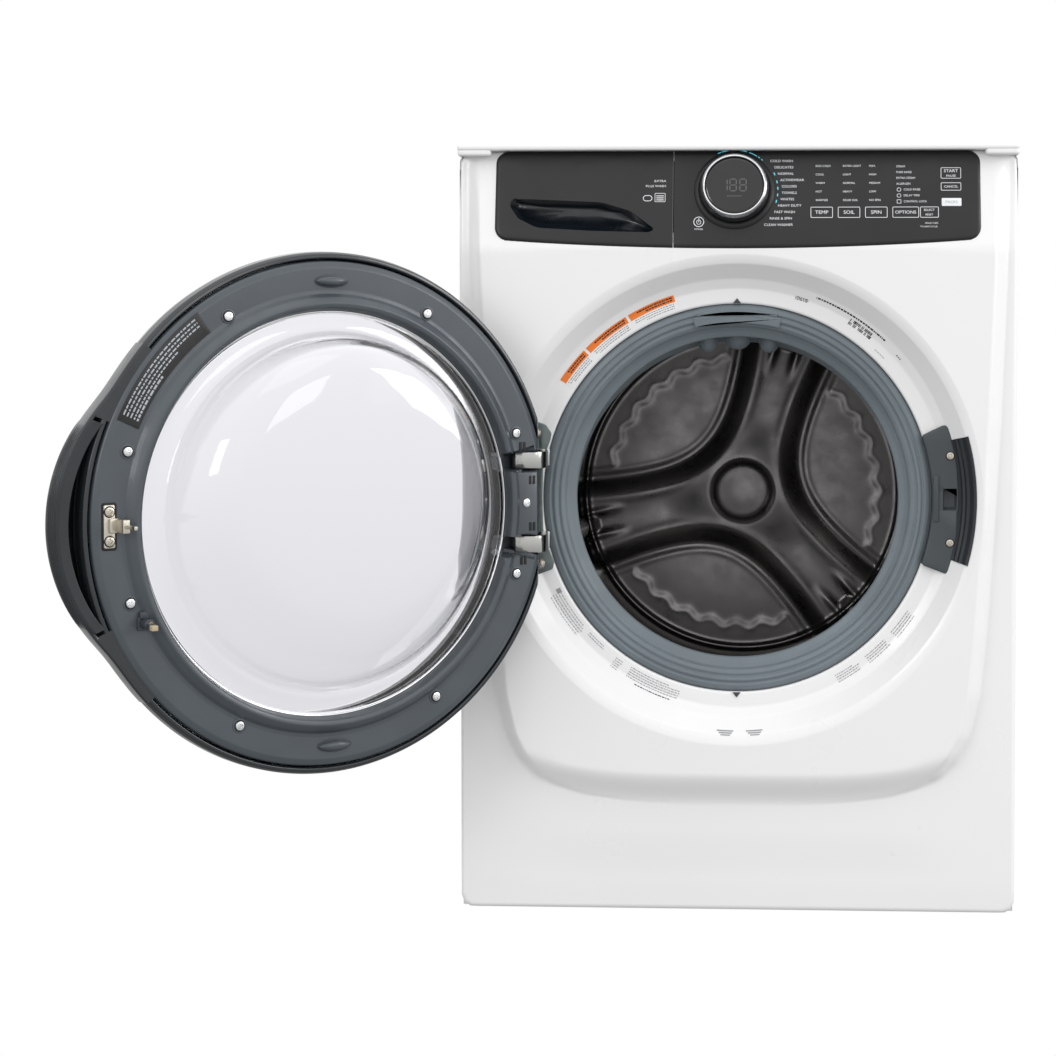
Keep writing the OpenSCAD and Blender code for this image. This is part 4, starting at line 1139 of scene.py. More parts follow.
def inner_frame():
    prof = [(232.6, -414), (232.6, -400, 2), (235.5, -392, 3), (241.5, -390.6, 3.5),
            (248, -396.5, 5), (251.5, -401.2, 1.6),
            (256, -401.6, 1), (281, -400.8, 6), (288.2, -403.2, 4), (289.6, -409.6, 1),
            (287, -411, 1), (281, -405), (254, -405.4),
            (246, -400.5), (240, -399), (236.5, -406), (236, -414)]
    b = hinge_side(lathe(prof, 800))
    # raised hinge block between the straps
    b.join(slab(rounded(-275.4, -37.5, -243, 36.5, 1.5, 3), -436, -400.2, 0.6))
    for k, q in enumerate(FRAME_SCREWS):
        t = math.radians(q)
        x, z = 260 * math.cos(t), 260 * math.sin(t)
        b.join(slab(disc(x, z, 8.4, 40), -402, -400.55, 0.5))
    ob = b.make("door_inner_frame", FRAME, "door", open_door, smooth=45, slot="grey_plastic")
    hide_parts("door_inner_frame")
    d, s = Build(), Build()
    for k, q in enumerate(FRAME_SCREWS):
        t = math.radians(q)
        x, z = 260 * math.cos(t), 260 * math.sin(t)
        d.join(slab(disc(x, z, 6.7, 40), -401.4, -400.4, 0.3))
        s.join(screw(x, z, -400.6, 5.2, 2.4, 0.4 + 0.7 * k, out=1.0))
    for x, z in ((269, 16), (269, -16)):
        d.join(slab(disc(x, z, 6.4, 40), -401.4, -399.3, 0.3))
    d.join(slab(rounded(260.4, -26, 278, 26, 3), -401.6, -400.5, 0.3))
    d.make("door_shadow_rings", PAINTED_SHADE, "door", open_door, slot="dark_plastic")
    ob = s.make("door_screws", ZINC_BRIGHT, "door", open_door, smooth=30, slot="zinc_steel")
    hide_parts("door_screws")
    # strike: plate, two screws, hook
    p = slab(rounded(262.6, -23.5, 275.4, 23.5, 2), -401.4, -399.8, 0.5)
    p.join(slab(rounded(259, -7, 270, 9, 1.5), -401, -396, 0.8))
    p.join(slab(rounded(254.5, -6.5, 262.5, 8.5, 1.2), -399, -378, 0.8))
    p.join(slab(rounded(254.5, -1.5, 258.5, 3.0, 1), -380, -357, 0.6))
    for z in (16, -16):
        p.join(screw(269, z, -399.8, 5.4, 2.0, 0.3, out=1.0))
    ob = p.make("door_strike", WARM_STEEL, "door", open_door, smooth=30, slot="zinc_steel")
    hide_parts("door_strike")
    # oval bumpers: half ellipsoids, each on a thin dark oval plate that paints the shade round its
    # foot
    c, e = Build(), Build()
    for z in (266, -266):
        th = np.linspace(0, 2 * math.pi, 64, endpoint=False)
        ph = np.linspace(0, math.pi / 2, 18)
        P, T = np.meshgrid(ph, th, indexing="ij")
        g = np.stack([20 * np.cos(P) ** 0.75 * np.cos(T), -401.2 + 8 * np.sin(P),
                      z + 6.2 * np.cos(P) ** 0.75 * np.sin(T)], -1)
        c.grid(g, wrap_v=True)
        e.join(slab(disc(0, z, 21.6, 60, 7.7), -401.4, -400.6, 0.3))
    ob = c.make("door_bumpers", FRAME, "door", open_door, smooth=60, slot="grey_plastic")
    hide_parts("door_bumpers")
    e.make("bumper_shade_rims", SLATE_DARK, "door", open_door, slot="dark_plastic")
    # vent lever: a clip, a dark barrel and a beige tip
    x, z = 254 * math.cos(math.radians(-25)), 254 * math.sin(math.radians(-25))
    v = slab(rounded(x - 9, z - 8, x + 8, z + 7, 2), -401.4, -398.6, 0.6)
    v.join(slab(rounded(x - 5, z + 5, x + 6, z + 13, 1.5), -401.4, -396.5, 0.8))
    v.join(slab(disc(x, z, 6, 36), -400, -384, 1))
    v.join(slab(rounded(x - 4, z - 6, x + 4, z + 1, 1), -385, -377, 0.6))
    v.make("vent_clip", SLATE_DARK, "door", open_door, slot="dark_plastic")
    w = slab(rounded(x - 3.6, z - 5.4, x + 3.6, z + 0.4, 0.8), -381, -370, 0.8)
    w.join(slab(disc(x, z, 4.4, 30), -408, -384, 0.8))
    ob = w.make("vent_tip", BEIGE, "vent", open_door, slot="beige_plastic")
    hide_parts("vent_plunger")
    pins = Build()
    for z in (24, -78):
        pins.join(slab(disc(0, 0, 2.9, 24), 0, 55, 0.6), lambda q, z=z: np.stack(
            [PIN[0] + q[..., 0], PIN[1] + q[..., 2], z + q[..., 1]], -1))
    ob = pins.make("hinge_pins", ZINC_BRIGHT, "door", open_door, slot="zinc_steel")
    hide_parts("hinge_pins")


def arc_patch(r0, r1, a0, a1, y0, y1, bevel=0.2, n=24):
    """A flat band between two radii and two angles."""
    t = np.radians(np.linspace(a0, a1, n))
    u = t[::-1]
    o = np.concatenate([np.stack([np.cos(t) * r0, np.sin(t) * r0], -1),
                        np.stack([np.cos(u) * r1, np.sin(u) * r1], -1)])
    return slab(o, y0, y1, bevel)


def door_label():
    """A dark band with five rows of short strokes."""
    arc_patch(256.5, 283.5, 24, 54.5, -400.95, -400.45, 0.1,
              30).make("door_label", BLACK_INK, "door", open_door, slot="display_black")
    lines = Build()
    rng = np.random.default_rng(4)
    for k, r in enumerate((279, 274.6, 270.2, 265.8, 261.4)):
        a = 25.6
        stop = 53 if k < 3 else (45 if k == 3 else 38)
        while a < stop:
            w = rng.uniform(0.35, 1.3) * (1.5 if k == 4 else 1)
            lines.join(arc_patch(r - 1.0, r + (1.4 if k == 4 else 0.7), a, min(a + w, stop),
                                 -400.5, -400.3, 0.03, 4))
            a += w + 0.3
    lines.make("door_label_lines", PRINT_DIM, "door", open_door, slot="white_enamel")


outer_ring_piece()
door_glass()
inner_frame()
door_label()


# ------------------------------------------------------------------ console
CYAN = Mat("cyan_light", (0.1, 0.5, 0.6), 0.5, Emission_Strength=0.55,
           Emission_Color=(0.12, 0.55, 0.68, 1)).m
DIGIT = Mat("dim_digits", (0.09, 0.085, 0.085), 0.4, Emission_Strength=0.05,
            Emission_Color=(0.6, 0.55, 0.55, 1)).m
DISPLAY = plastic("display_gloss", (0.006, 0.005, 0.006), 0.14, 1500, 0.01, 0.1, 0.3)
SCOOP_OUTLINE = fillet([(-276, 65, 5), (-165, 60, 60), (-130, 49, 24), (-99.5, 25.5, 3),
                        (-108, 22, 4), (-180, 24), (-245, 28, 34),
                        (-268, 40, 16), (-278, 56, 8)], True, 8)


def console_outline():
    """Both ends are rounded and the lower edge sags 11.6 mm from the ends to the middle."""
    low = [(x, 0.6 + 11.6 * (abs(x) / 297) ** 2.2) for x in np.linspace(-262, 262, 41)]
    pts = [(-297.6, 12.0, 19)] + [(x, s, 0) for x, s in low] + [(297.2, 12.0, 19),
                                                                (297.2, 126.4, 16),
                                                                (-297.6, 126.4, 16)]
    return fillet(pts, True, 8)


def clamp_x(b, lo=-np.inf, hi=np.inf):
    """Flattens a Build against upright planes at lo and hi."""
    for v in b.v:
        v[:, 0] = np.clip(v[:, 0], lo, hi)
    return b


SEAM_X = -78.2                  # edge of the drawer front
FACE_Y = -3.0                   # face of the console over its slope
PRINT_Y = -3.12                 # printing on that face


def console():
    """One outline cut at the seam: fascia, drawer front with its scoop, dial and printing."""
    o = console_outline()
    # programme side
    b = clamp_x(slab(o, FACE_Y, 6.8, 7.0, 0.4, 6), lo=-76.8)
    boss = lathe([(49.6, -2.6), (48.6, -4.4, 1), (45.6, -6.4, 2), (43.6, -6.2, 0.6), (43.4, -3)],
                 140, closed=False)
    b.join(boss, lambda v: v + np.array([-3.0, 0, 74.8]))
    ob = b.make("console_face", CONSOLE, "cabinet", console_place, smooth=40, slot="console_black")
    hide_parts("console_fascia")
    # drawer side: same outline, cut at the seam, with the scoop let into it
    d = slab(o, FACE_Y, 6.8, 7.0, 0.4, 6)
    ring = d.v[0].reshape(-1, 3)[:len(o)].copy()
    d = clamp_x(d, hi=SEAM_X)
    d.f.pop(-2)
    ring = ring[ring[:, 0] < SEAM_X][:, [0, 2]]
    mid = int(np.argmax(np.linalg.norm(ring - np.roll(ring, 1, 0), axis=1)))
    ring = np.roll(ring, -mid, 0)
    ring = np.concatenate([ring, [[SEAM_X, ring[-1, 1]], [SEAM_X, ring[0, 1]]]])
    hole = SCOOP_OUTLINE
    tris = tessellate_polygon([[Vector((q[0], q[1], 0)) for q in loop] for loop in (ring, hole)])
    flat = np.concatenate([ring, hole])
    d.raw(np.stack([flat[:, 0], np.full(len(flat), FACE_Y), flat[:, 1]], -1), tris)
    ob = d.make("drawer_face", CONSOLE, "drawer", console_place, smooth=40, slot="console_black")
    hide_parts("drawer_front")
    k = np.array
    sc = funnel(hole, [(-3.0, k([1, 1]), -190, 44), (-2.2, k([0.993, 0.985]), -190, 46),
                       (0, k([0.985, 0.97]), -190, 50),
                       (4, k([0.965, 0.93]), -192, 56), (9, k([0.93, 0.86]), -195, 59),
                       (14, k([0.88, 0.76]), -196, 60),
                       (18.5, k([0.78, 0.62]), -196, 60), (21, k([0.6, 0.42]), -196, 58),
                       (21.8, k([0.3, 0.2]), -196, 56)])
    sc.make("drawer_scoop", SCOOP, "drawer", console_place, smooth=70, slot="display_black")

    # dial: skirt, bright rim, dark display
    at = lambda v: console_place(v + np.array([-3.0, 0, 76.0]))
    ring = lathe([(42.9, -6.2), (42.6, -9, 1), (40.9, -18.5, 2), (39.4, -21.4, 1.2),
                  (37.6, -22.9, 0.8), (36.6, -22.7, 0.4), (35.7, -21.2),
                  (35.6, -8), (40, -6.2)], 180)
    ob = ring.make("dial_ring", DIAL_METAL, "dial", at, smooth=30, slot="bright_chrome")
    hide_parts("dial_ring")
    rim = lathe([(38.2, -22.3), (37.6, -23.1, 0.5), (36.4, -23.0, 0.5), (35.6, -21.4)], 180,
                closed=False)
    rim.make("dial_rim", CHROME, "dial", at, smooth=60, slot="bright_chrome")
    lens = lathe([(0.02, -21.6), (20, -21.5), (33, -21.1, 6), (35.3, -20.2, 0.6), (35.3, -10)],
                 140, closed=False)
    ob = lens.make("dial_display", DISPLAY, "cabinet", at, smooth=60, slot="display_black")
    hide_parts("dial_display")
    seg = Build()

    def bar(x0, z0, x1, z1):
        seg.join(slab(rounded(x0, z0, x1, z1, 0.35, 2), -21.75, -21.45, 0.05))

    # a 1 and two 8s from seven bars each: flat ones at three heights, upright ones at both sides
    w, h, thick, gap = 3.8, 7.4, 0.6, 0.8
    for x, flats, sides in ((-12.5, (), (w,)), (-1.5, (h, -h, 0), (w, -w)),
                            (10.5, (h, -h, 0), (w, -w))):
        for z in flats:
            bar(x - w + gap, z - thick, x + w - gap, z + thick)
        for side in sides:
            bar(x + side - thick, gap, x + side + thick, h - gap)
            bar(x + side - thick, -h + gap, x + side + thick, -gap)
    bar(-9, -14.2, 9, -13.4)
    seg.make("display_digits", DIGIT, "cabinet", at, slot="display_black")

    # lights around the dial
    c = Build()
    face = lambda v: console_place(v + np.array([-3.0, 0, 74.8]))
    for a0, a1 in ((109, 114), (96, 108), (93.5, 95), (73, 91), (58, 70), (53, 56), (48, 50.5)):
        c.join(arc_patch(50.6, 51.5, a0, a1, -3.12, -2.98, 0.02, 10))
    for a in (23, 11.5, 2.6, -6.5, -15.5):
        c.join(arc_patch(52.2, 53.4, a - 1.9, a + 1.9, -3.12, -2.98, 0.02, 5))
    c.make("dial_lights", CYAN, "cabinet", face, slot="blue_plastic")

    # printed words, boxes and small marks
    y = PRINT_Y
    t = []
    names = ("COLD WASH", "DELICATES", "NORMAL", "ACTIVEWEAR", "COLORS", "TOWELS", "WHITES",
             "HEAVY DUTY", "FAST WASH", "RINSE & SPIN", "CLEAN WASHER")
    for i, n in enumerate(names):
        x = 54.6 - 0.855 * (abs(i - 4.6) ** 1.85) * (1.0 if i < 5 else 1.12)
        t.append((n, x, 111.7 - 8.07 * i, 4.3, 1.1, "LEFT"))
    for x, col in ((95.7, ("ECO COLD", "COOL", "WARM", "HOT", "SANITIZE")),
                   (128.8, ("EXTRA LIGHT", "LIGHT", "NORMAL", "HEAVY", "SOLID SOIL")),
                   (160.6, ("MAX", "HIGH", "MEDIUM", "LOW", "NO SPIN"))):
        for i, n in enumerate(col):
            t.append((n, x, 105.2 - 10.8 * i, 3.6, 1.0, "LEFT"))
    for i, n in enumerate(("STEAM", "PURE RINSE", "EXTRA STEAM", "ALLERGEN")):
        t.append((n, 193.7, 104.4 - 7.3 * i, 3.6, 1.0, "LEFT"))
    for i, n in enumerate(("COLD RINSE", "DELAY TIME", "CONTROL LOCK")):
        t.append((n, 202.4, 75.2 - 7.5 * i, 3.6, 1.0, "LEFT"))
    for n, x0, x1, size in (("TEMP", 89.6, 116.5, 6.2), ("SOIL", 122.7, 149.6, 6.2),
                            ("SPIN", 155.7, 182.7, 6.2), ("OPTIONS", 188.8, 220.6, 5.6)):
        t.append((n, (x0 + x1) / 2, 46.6, size, 1.08, "CENTER"))
    t += [("SELECT", 233.2, 49.4, 3.9, 1.05, "CENTER"),
          ("RESET", 233.2, 43.6, 3.4, 1.05, "CENTER"), ("START", 259.9, 98.6, 5.6, 1.05, "CENTER"),
          ("PAUSE", 259.9, 92.4, 4.0, 1.05, "CENTER"), ("CANCEL", 259.9, 78.8, 4.2, 1.05,
                                                        "CENTER"),
          ("POWER", -46.4, 25.6, 2.9, 1.05, "CENTER"),
          ("HOLD 3 SEC", 228, 33.0, 2.9, 1.0, "LEFT"), ("TO SAVE CYCLE", 222, 28.6, 2.9, 1.0,
                                                        "LEFT")]
    w = words(t, y)
    for x0, x1 in ((89.6, 116.5), (122.7, 149.6), (155.7, 182.7), (188.8, 220.8), (222.2, 244.6)):
        w.join(outline_box(x0, 39.9, x1, 53.6, 1.4, 0.65, y))
    w.join(outline_box(247.6, 89, 272.1, 103, 1.4, 0.65, y)).join(outline_box(247.6, 73.9, 272.1,
                                                                              84, 1.4, 0.65, y))
    for z in (75.2, 67.7, 60.2):
        w.join(outline_box(194.2, z - 2.5, 199.4, z + 2.5, 2.4 if z > 61 else 0.6, 0.55, y))
    ring_a = np.linspace(0, 2 * math.pi, 40, endpoint=False)
    g = np.array([np.stack([-46.4 + r * np.cos(ring_a), np.full(40, y), 35 + r * np.sin(ring_a)],
                           -1)
                  for r in (6.5, 5.6)])
    w.join(Build().grid(g, wrap_v=True, flip=True))
    w.join(outline_box(-46.9, 34.4, -45.9, 39.6, 0.3, 0.45,
                       y)).join(outline_box(-49.4, 31.6, -43.4, 37.6, 2.9, 0.7, y))
    w.make("console_print", PRINT, "cabinet", console_place, smooth=0, slot="white_enamel")
    slab(rounded(248.4, 54.5, 272.2, 64.4, 1.0), y, -2.95,
         0.05).make("console_white_key", PRINT, "cabinet", console_place, slot="white_enamel")
    words([("PACKS", 260.3, 59.4, 4.6, 1.08, "CENTER")], y
          - 0.12).make("console_key_word", PRINT_GREY, "cabinet", console_place, smooth=0,
                       slot="dark_plastic")
    w = words([("EXTRA", -86.6, 86.6, 3.9, 1.2, "RIGHT"),
               ("PLUS WASH", -86.6, 80.2, 3.9, 1.2, "RIGHT")], y)
    w.join(outline_box(-100.4, 60.2, -87.4, 71.4, 1, 0.6, y)).join(outline_box(-114.8, 61.2,
                                                                               -103.4, 68.8, 3.7,
                                                                               0.8, y))
    for i in range(3):
        w.join(outline_box(-98.4, 62.2 + 2.6 * i, -89.4, 63.4 + 2.6 * i, 0.3, 0.5, y))
    w.make("drawer_print", PRINT, "drawer", console_place, smooth=0, slot="white_enamel")
    # the seam catches light on the drawer's edge
    slab([(-78.3, 3.5), (-77.9, 3.5), (-77.9, 120.4), (-78.3, 120.4)], -3.05, -1.5, 0.05).make(
        "drawer_seam_edge", EDGE, "drawer", console_place, slot="console_black")


console()


# ------------------------------------------------------------------ hinge and latch
GREEN_ZINC = zinc("green_zinc", (0.16, 0.19, 0.185), 0.36)
STRAP = metal("hinge_strap", (0.5, 0.5, 0.48), 0.16, (1, 1, 14), 60, 0.04)
DISH = fillet([(240, -368)] + RECESS, False, 8)


def dish_y(r):
    """How far back the recess lies at radius r."""
    return np.interp(r, DISH[:, 0], DISH[:, 1])


def hinge():
    """A plate with two lobes, and two straps: one hooked line given 3.4 mm of thickness."""
    o = fillet([(-261, 92, 5), (-254, 97, 4), (-236, 90.5, 8), (-229, 80, 6), (-230.5, 72, 4),
                (-236, 57, 3), (-239.6, 40), (-240.6, 0), (-239.6, -40),
                (-234, -60, 3), (-226, -80, 5), (-228, -88.5, 4), (-250, -97, 5), (-257, -91, 5),
                (-253.5, -66, 3), (-250, -42), (-250, 42), (-258, 58, 4)], True, 4)
    b = slab(o[::-1], -371.4, -368.2, 0.9)
    for p0, p1 in (((-255, 93), (-253.5, 76)), ((-243, 92), (-244, 78)),
                   ((-251, -94), (-249.5, -79)), ((-240, -91), (-240.5, -78))):
        q = np.array([[p0[0], -371.4, p0[1]], [(p0[0] + p1[0]) / 2, -371.5, (p0[1] + p1[1]) / 2],
                      [p1[0], -371.3, p1[1]]])
        b.join(tube(q, 0.55, 8))
    ob = b.make("hinge_plate", GREEN_ZINC, "cabinet", at_door_axis, smooth=40, slot="zinc_steel")
    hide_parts("hinge_bracket")
    line = spline([(-3, -7.6), (8, -8.6), (18, -8), (26, -4), (31.4, 4), (33.4, 16), (32.6, 30),
                   (30, 51.5)], 40)
    t = np.gradient(line, axis=0)
    t /= np.linalg.norm(t, axis=1, keepdims=True)
    inner = line + 3.4 * np.stack([-t[:, 1], t[:, 0]], -1)
    strap = Build()
    for z0, z1 in ((40.4, 60.8), (-62, -41.2)):
        s = slab(np.concatenate([line, inner[::-1]]), z0, z1, 0.9)
        s.join(slab(disc(0, 0, 7.6, 40), z0, z1, 0.8))
        s.join(slab(rounded(12, 48.5, 33, 52.8, 0.8, 2), z0, z1, 0.5))
        strap.join(s, lambda v: np.stack([PIN[0] + v[..., 0], PIN[1] + v[..., 2],
                                          DOOR_Z + v[..., 1]], -1))
    ob = strap.make("hinge_straps", STRAP, "cabinet", smooth=50, slot="zinc_steel")
    heads = Build()
    for x, z in ((-248.5, 80.5), (-244, -82)):
        heads.join(screw(x, z, -371.2, 5.2, 2.6, 0.7))
        heads.join(lathe([(6.4, -371.3), (6.2, -371.9, 0.3), (5.2, -371.9)], 40, closed=False),
                   lambda v, x=x, z=z: v + np.array([x, 0, z]))
    for x, z in ((261.2, 54), (261.2, -53)):
        heads.join(screw(x, z, -377.4, 4.6, 1.9, 0.5))
    heads.make("front_screws", WARM_STEEL, "cabinet", at_door_axis, smooth=30, slot="zinc_steel")
    # square slots in the door frame beside the straps, filled with dark plates as painted shade
    d = Build()
    for x, z in ((-254.5, 68.5), (-267.5, 27.5), (-267.5, -29), (-255.5, -69.5)):
        for k in (-3.1, 2.1):
            d.join(slab(rounded(x + k - 1.9, z - 5.2, x + k + 1.9, z + 5.2, 0.5, 2), -401.9,
                        -399.9 if abs(z) < 40 else -400.9, 0.1))
    d.make("hinge_slot_shade", PAINTED_SHADE, "door", open_door, slot="dark_plastic")


def latch():
    """A plate whose inner side follows the gasket, with a slot that narrows as it goes in, and
    a stepped seal turned about the door axis."""
    left = [(math.sqrt(239.5 ** 2 - z * z), z) for z in np.linspace(-78, 76, 16)]
    o = fillet([(x, z, 0) for x, z in left] + [(228.5, 79.5, 4), (254.5, 92.4, 8), (262.5, 88, 5),
                                               (266.6, 74, 12), (270.6, 40), (272.4, 4.5),
                                               (270.6, -40),
                                              (266, -82, 8), (258, -92, 5), (230, -81.5, 4)], True,
               5)
    hole = rounded(252.6, -13.8, 270.6, 13.8, 1.2, 3)
    b = holed_slab(o[::-1], [hole[::-1]], -377.4, -366.5, 2.6, 4)
    b.join(funnel(hole, [(-377.4, 1, 262, 0), (-376.9, 0.95, 261.5, 0), (-369, 0.75, 258.5, 1),
                         (-353, 0.72, 258.5, 1)]))
    b.join(slab(rounded(240.6, -27, 247.6, 30, 2, 4), -379.4, -376, 1.2))
    ob = b.make("latch_plate", LATCH, "cabinet", at_door_axis, smooth=40, slot="dark_plastic")
    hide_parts("latch_plate")
    # a dark plate at the foot of the slot: painted shade deep in the slot
    slab(rounded(253.6, -9.4, 267.6, 10.4, 1), -353.6, -352.6,
         0.2).make("latch_slot_shade", PAINTED_SHADE, "cabinet", at_door_axis, slot="dark_plastic")
    # dark discs round the two front screws: painted shade in the hollow round each head
    d = Build()
    for z in (54, -53):
        d.join(slab(disc(261.2, z, 5.6, 36), -377.55, -377, 0.2))
    d.make("latch_screw_shade_rings", PAINTED_SHADE, "cabinet", at_door_axis, slot="dark_plastic")
    prof = [(268, -369), (270.5, -376.5, 1), (275, -379.8, 1), (276.2, -383.2, 0.8),
            (279.4, -384.6, 0.8), (280.8, -388.4, 0.8), (284.4, -390.6, 1),
            (288.6, -396.4, 1.5), (292, -398.6, 1), (292.6, -395, 1), (276, -374)]
    seal = lathe(prof, 90, True, -15.7, 15.7)
    seal.make("latch_seal", GRIP, "cabinet", at_door_axis, smooth=35, slot="dark_plastic")


hinge()
latch()


# ------------------------------------------------------------------ labels on the recess
def on_dish(r0, r1, a0, a1, lift=0.25, nr=4, na=12):
    """A patch of the recess between two radii and two angles, lifted off it along Y."""
    r = np.linspace(r0, r1, nr)
    a = np.radians(np.linspace(a0, a1, na))
    R, A = np.meshgrid(r, a, indexing="ij")
    return Build().grid(np.stack([R * np.cos(A), dish_y(R) - lift, R * np.sin(A)], -1))


def text_rows(b, r0, r1, a0, a1, rows, seed, thick=0.5, lift=0.32, gap=0.22):
    """Rows of short blocks that read as fine print."""
    rng = np.random.default_rng(seed)
    for k in range(rows):
        r = r1 - (r1 - r0) * (k + 0.5) / rows
        a = a0 + rng.uniform(0, 0.3)
        end = a1 - (rng.uniform(0, 0.35) * (a1 - a0) if k == rows - 1 else rng.uniform(0, 0.6))
        while a < end:
            w = min(rng.uniform(0.25, 0.95), end - a + 0.05)
            b.join(on_dish(r - thick, r + thick, a, a + w, lift, 2, 3))
            a += w + gap


def labels():
    """Generic bands, bars and rows of strokes on the recess."""
    o, ink, grey, white = Build(), Build(), Build(), Build()
    for a0, a1, seed in ((136.0, 146.2, 1), (121.6, 135.2, 2), (107.4, 120.8, 3)):
        o.join(on_dish(254.2, 262.6, a0, a1, 0.3, 5, 24))
        white.join(on_dish(244.6, 254.2, a0 - 0.2, a1 + 0.2, 0.2, 4, 24))
        text_rows(ink, 255.6, 261.4, a0 + 0.6, a1 - 2.4, 2, seed, 0.9, 0.4, 0.18)
        text_rows(grey, 245.4, 253.4, a0 + 0.4, a1 - 0.4, 3, seed + 5, 0.55)
    text_rows(ink, 264.6, 267.4, 47, 73, 1, 11, 0.95, 0.3)
    text_rows(ink, 262.6, 264.6, 40.5, 43, 1, 12, 0.6, 0.3)
    text_rows(ink, 255.8, 260.4, 70.2, 74.4, 3, 13, 0.45, 0.3)
    text_rows(grey, 248.6, 251, 43.6, 48, 1, 14, 0.4, 0.3)
    rng = np.random.default_rng(8)
    for k in range(2):
        for a in np.arange(50.4, 57.6, 0.34):
            if rng.uniform() > 0.25:
                ink.join(on_dish(254.6 + 4.3 * k, 258.3 + 4.3 * k, a, a + rng.uniform(0.14, 0.28),
                                 0.3, 2, 2))
    for a0, a1, r0, r1, rows, seed in ((208, 221, 246, 263, 5, 21), (222.5, 229, 246, 252, 2, 26),
                                       (233, 235.5, 247, 262, 5, 22), (238, 254, 246, 261, 5, 23),
                                       (299, 306.5, 249, 261, 4, 24),
                                       (309, 316.5, 250, 262, 4, 25), (319, 327, 250, 263, 4, 27)):
        text_rows(grey, r0, r1, a0, a1, rows, seed, 0.5)
    text_rows(ink, 262.2, 264.4, 241, 252, 1, 31, 0.55)
    for a0, a1 in ((265.2, 269.3), (272.4, 276.5)):
        for k in range(3):
            grey.join(on_dish(284.2 + 2.2 * k, 285.6 + 2.2 * k, a0 + 0.5 * k, a1 - 0.4 * k, 0.35,
                              2, 6))
    grey.join(on_dish(246, 252, 207, 208.4, 0.3, 3, 4))
    o.make("recess_orange", ORANGE, "cabinet", at_door_axis, slot="white_enamel")
    white.make("recess_paper", PAPER, "cabinet", at_door_axis, slot="white_enamel")
    ink.make("recess_ink", BLACK_INK, "cabinet", at_door_axis, slot="dark_plastic")
    grey.make("recess_fine_print", PRINT_GREY, "cabinet", at_door_axis, slot="dark_plastic")


labels()


# ------------------------------------------------------------------ carried-over solids
FINISH = {
    "base_pan": ZINC, "leveling_feet": RUBBER_BLACK, "foot_lock_nuts": ZINC_BRIGHT,
    "top_brace": ZINC,
    "cabinet_screws": ZINC_BRIGHT, "gasket_clamp": ZINC_BRIGHT, "tub_screws": ZINC_BRIGHT,
    "bearings": ZINC,
    "damper_rods": ZINC_BRIGHT, "suspension_springs": ZINC, "drum_pulley": ZINC,
    "motor_pulley": ZINC_BRIGHT,
    "hinge_pins": ZINC_BRIGHT, "hoses": RUBBER_BLACK, "shaft_seal": RUBBER_BLACK,
    "drive_belt": RUBBER_BLACK,
    "transit_plugs": TUB_WHITE, "drawer_tray": TUB_WHITE, "dispenser_housing": TUB_WHITE,
    "tub_front": TUB_WHITE,
    "tub_rear": TUB_WHITE, "console_carrier": SLATE_DARK, "cord_gland": BLACK_SOFT,
    "door_lock": SLATE_DARK,
    "damper_cylinders": BLACK_SOFT, "pump_housing": SLATE_DARK, "pump_impeller": SLATE,
    "inlet_valves": BLACK_SOFT,
    "drain_outlet": SLATE_DARK, "control_board": BOARD, "siphon_insert": BLUE,
    "counterweights": STONE,
    "motor": MOTOR, "spider_shaft": ALLOY,
}
for name, ob in NODES.items():
    if name in FINISH:
        ob.data.materials.clear()
        ob.data.materials.append(FINISH[name])


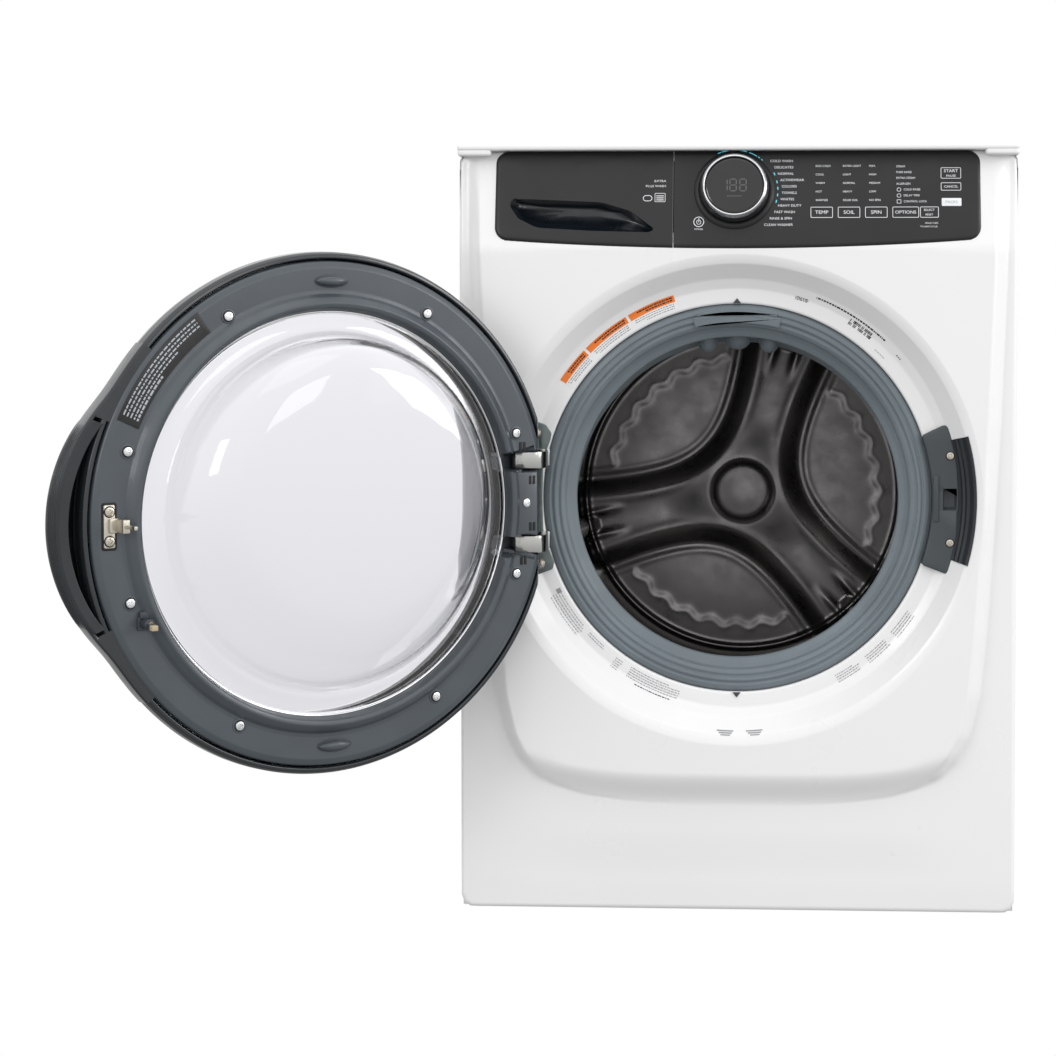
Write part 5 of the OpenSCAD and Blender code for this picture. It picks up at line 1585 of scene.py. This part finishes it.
# ------------------------------------------------------------------ stage, light, camera
def stage():
    """A white surround that is brighter above than below, four soft lights and the camera."""
    s = bpy.context.scene
    w = bpy.data.worlds.new("studio")
    s.world = w
    w.use_nodes = True
    t = w.node_tree
    bg = next(n for n in t.nodes if n.type == "BACKGROUND")
    out = next(n for n in t.nodes if n.type == "OUTPUT_WORLD")
    seen = t.nodes.new("ShaderNodeBackground")
    seen.inputs[0].default_value = (1, 1, 1, 1)
    seen.inputs[1].default_value = 1.0
    co = t.nodes.new("ShaderNodeTexCoord")
    xyz = t.nodes.new("ShaderNodeSeparateXYZ")
    up = t.nodes.new("ShaderNodeMapRange")
    up.interpolation_type = "SMOOTHSTEP"
    for k, v in ((1, -0.75), (2, 0.4), (3, 0.36), (4, 1.16)):
        up.inputs[k].default_value = v
    t.links.new(co.outputs[0], xyz.inputs[0])
    t.links.new(xyz.outputs[2], up.inputs[0])
    # a darker upright band to the left gives the glass its contour lines
    band = t.nodes.new("ShaderNodeMapRange")
    band.interpolation_type = "SMOOTHSTEP"
    for k, v in ((1, -0.97), (2, -0.86), (3, 0.25), (4, 1.0)):
        band.inputs[k].default_value = v
    t.links.new(xyz.outputs[0], band.inputs[0])
    both = t.nodes.new("ShaderNodeMath")
    both.operation = "MULTIPLY"
    t.links.new(up.outputs[0], both.inputs[0])
    t.links.new(band.outputs[0], both.inputs[1])
    t.links.new(both.outputs[0], bg.inputs[1])
    bg.inputs[0].default_value = (1, 1, 1, 1)
    ray = t.nodes.new("ShaderNodeLightPath")
    mix = t.nodes.new("ShaderNodeMixShader")
    t.links.new(ray.outputs["Is Camera Ray"], mix.inputs[0])
    t.links.new(bg.outputs[0], mix.inputs[1])
    t.links.new(seen.outputs[0], mix.inputs[2])
    t.links.new(mix.outputs[0], out.inputs[0])

    def area(name, at, to, size, power):
        """A square soft light that looks at a point."""
        li = bpy.data.lights.new(name, "AREA")
        li.energy = power
        li.size = size
        ob = bpy.data.objects.new(name, li)
        s.collection.objects.link(ob)
        ob.location = at
        d = Vector(to) - Vector(at)
        ob.rotation_euler = d.to_track_quat("-Z", "Y").to_euler()

    area("key", (-2.4, -3.4, 1.9), (0, -0.2, 0.6), 1.2, 22)
    area("fill", (2.6, -3.0, 1.6), (0, 0, 0.7), 1.0, 6)
    area("side", (3.3, -1.1, 1.6), (-0.4, -0.6, 0.7), 1.5, 34)
    area("top", (0, -1.4, 3.4), (0, 0, 0.6), 2.0, 8)

    cam = bpy.data.cameras.new("camera")
    ob = bpy.data.objects.new("camera", cam)
    s.collection.objects.link(ob)
    cam.sensor_width = 36
    cam.lens = 80.0455
    cam.shift_x = cam.shift_y = -0.12
    # in front of the cabinet's middle, turned a little to the left and down
    yaw, pitch = math.radians(2.8984), math.radians(2.3968)
    ob.location = (0.045, -3.26, 0.771)
    ob.rotation_euler = (math.pi / 2 - pitch, 0, yaw)
    cam.clip_end = 60
    s.camera = ob
    s.view_settings.view_transform = "Standard"


stage()
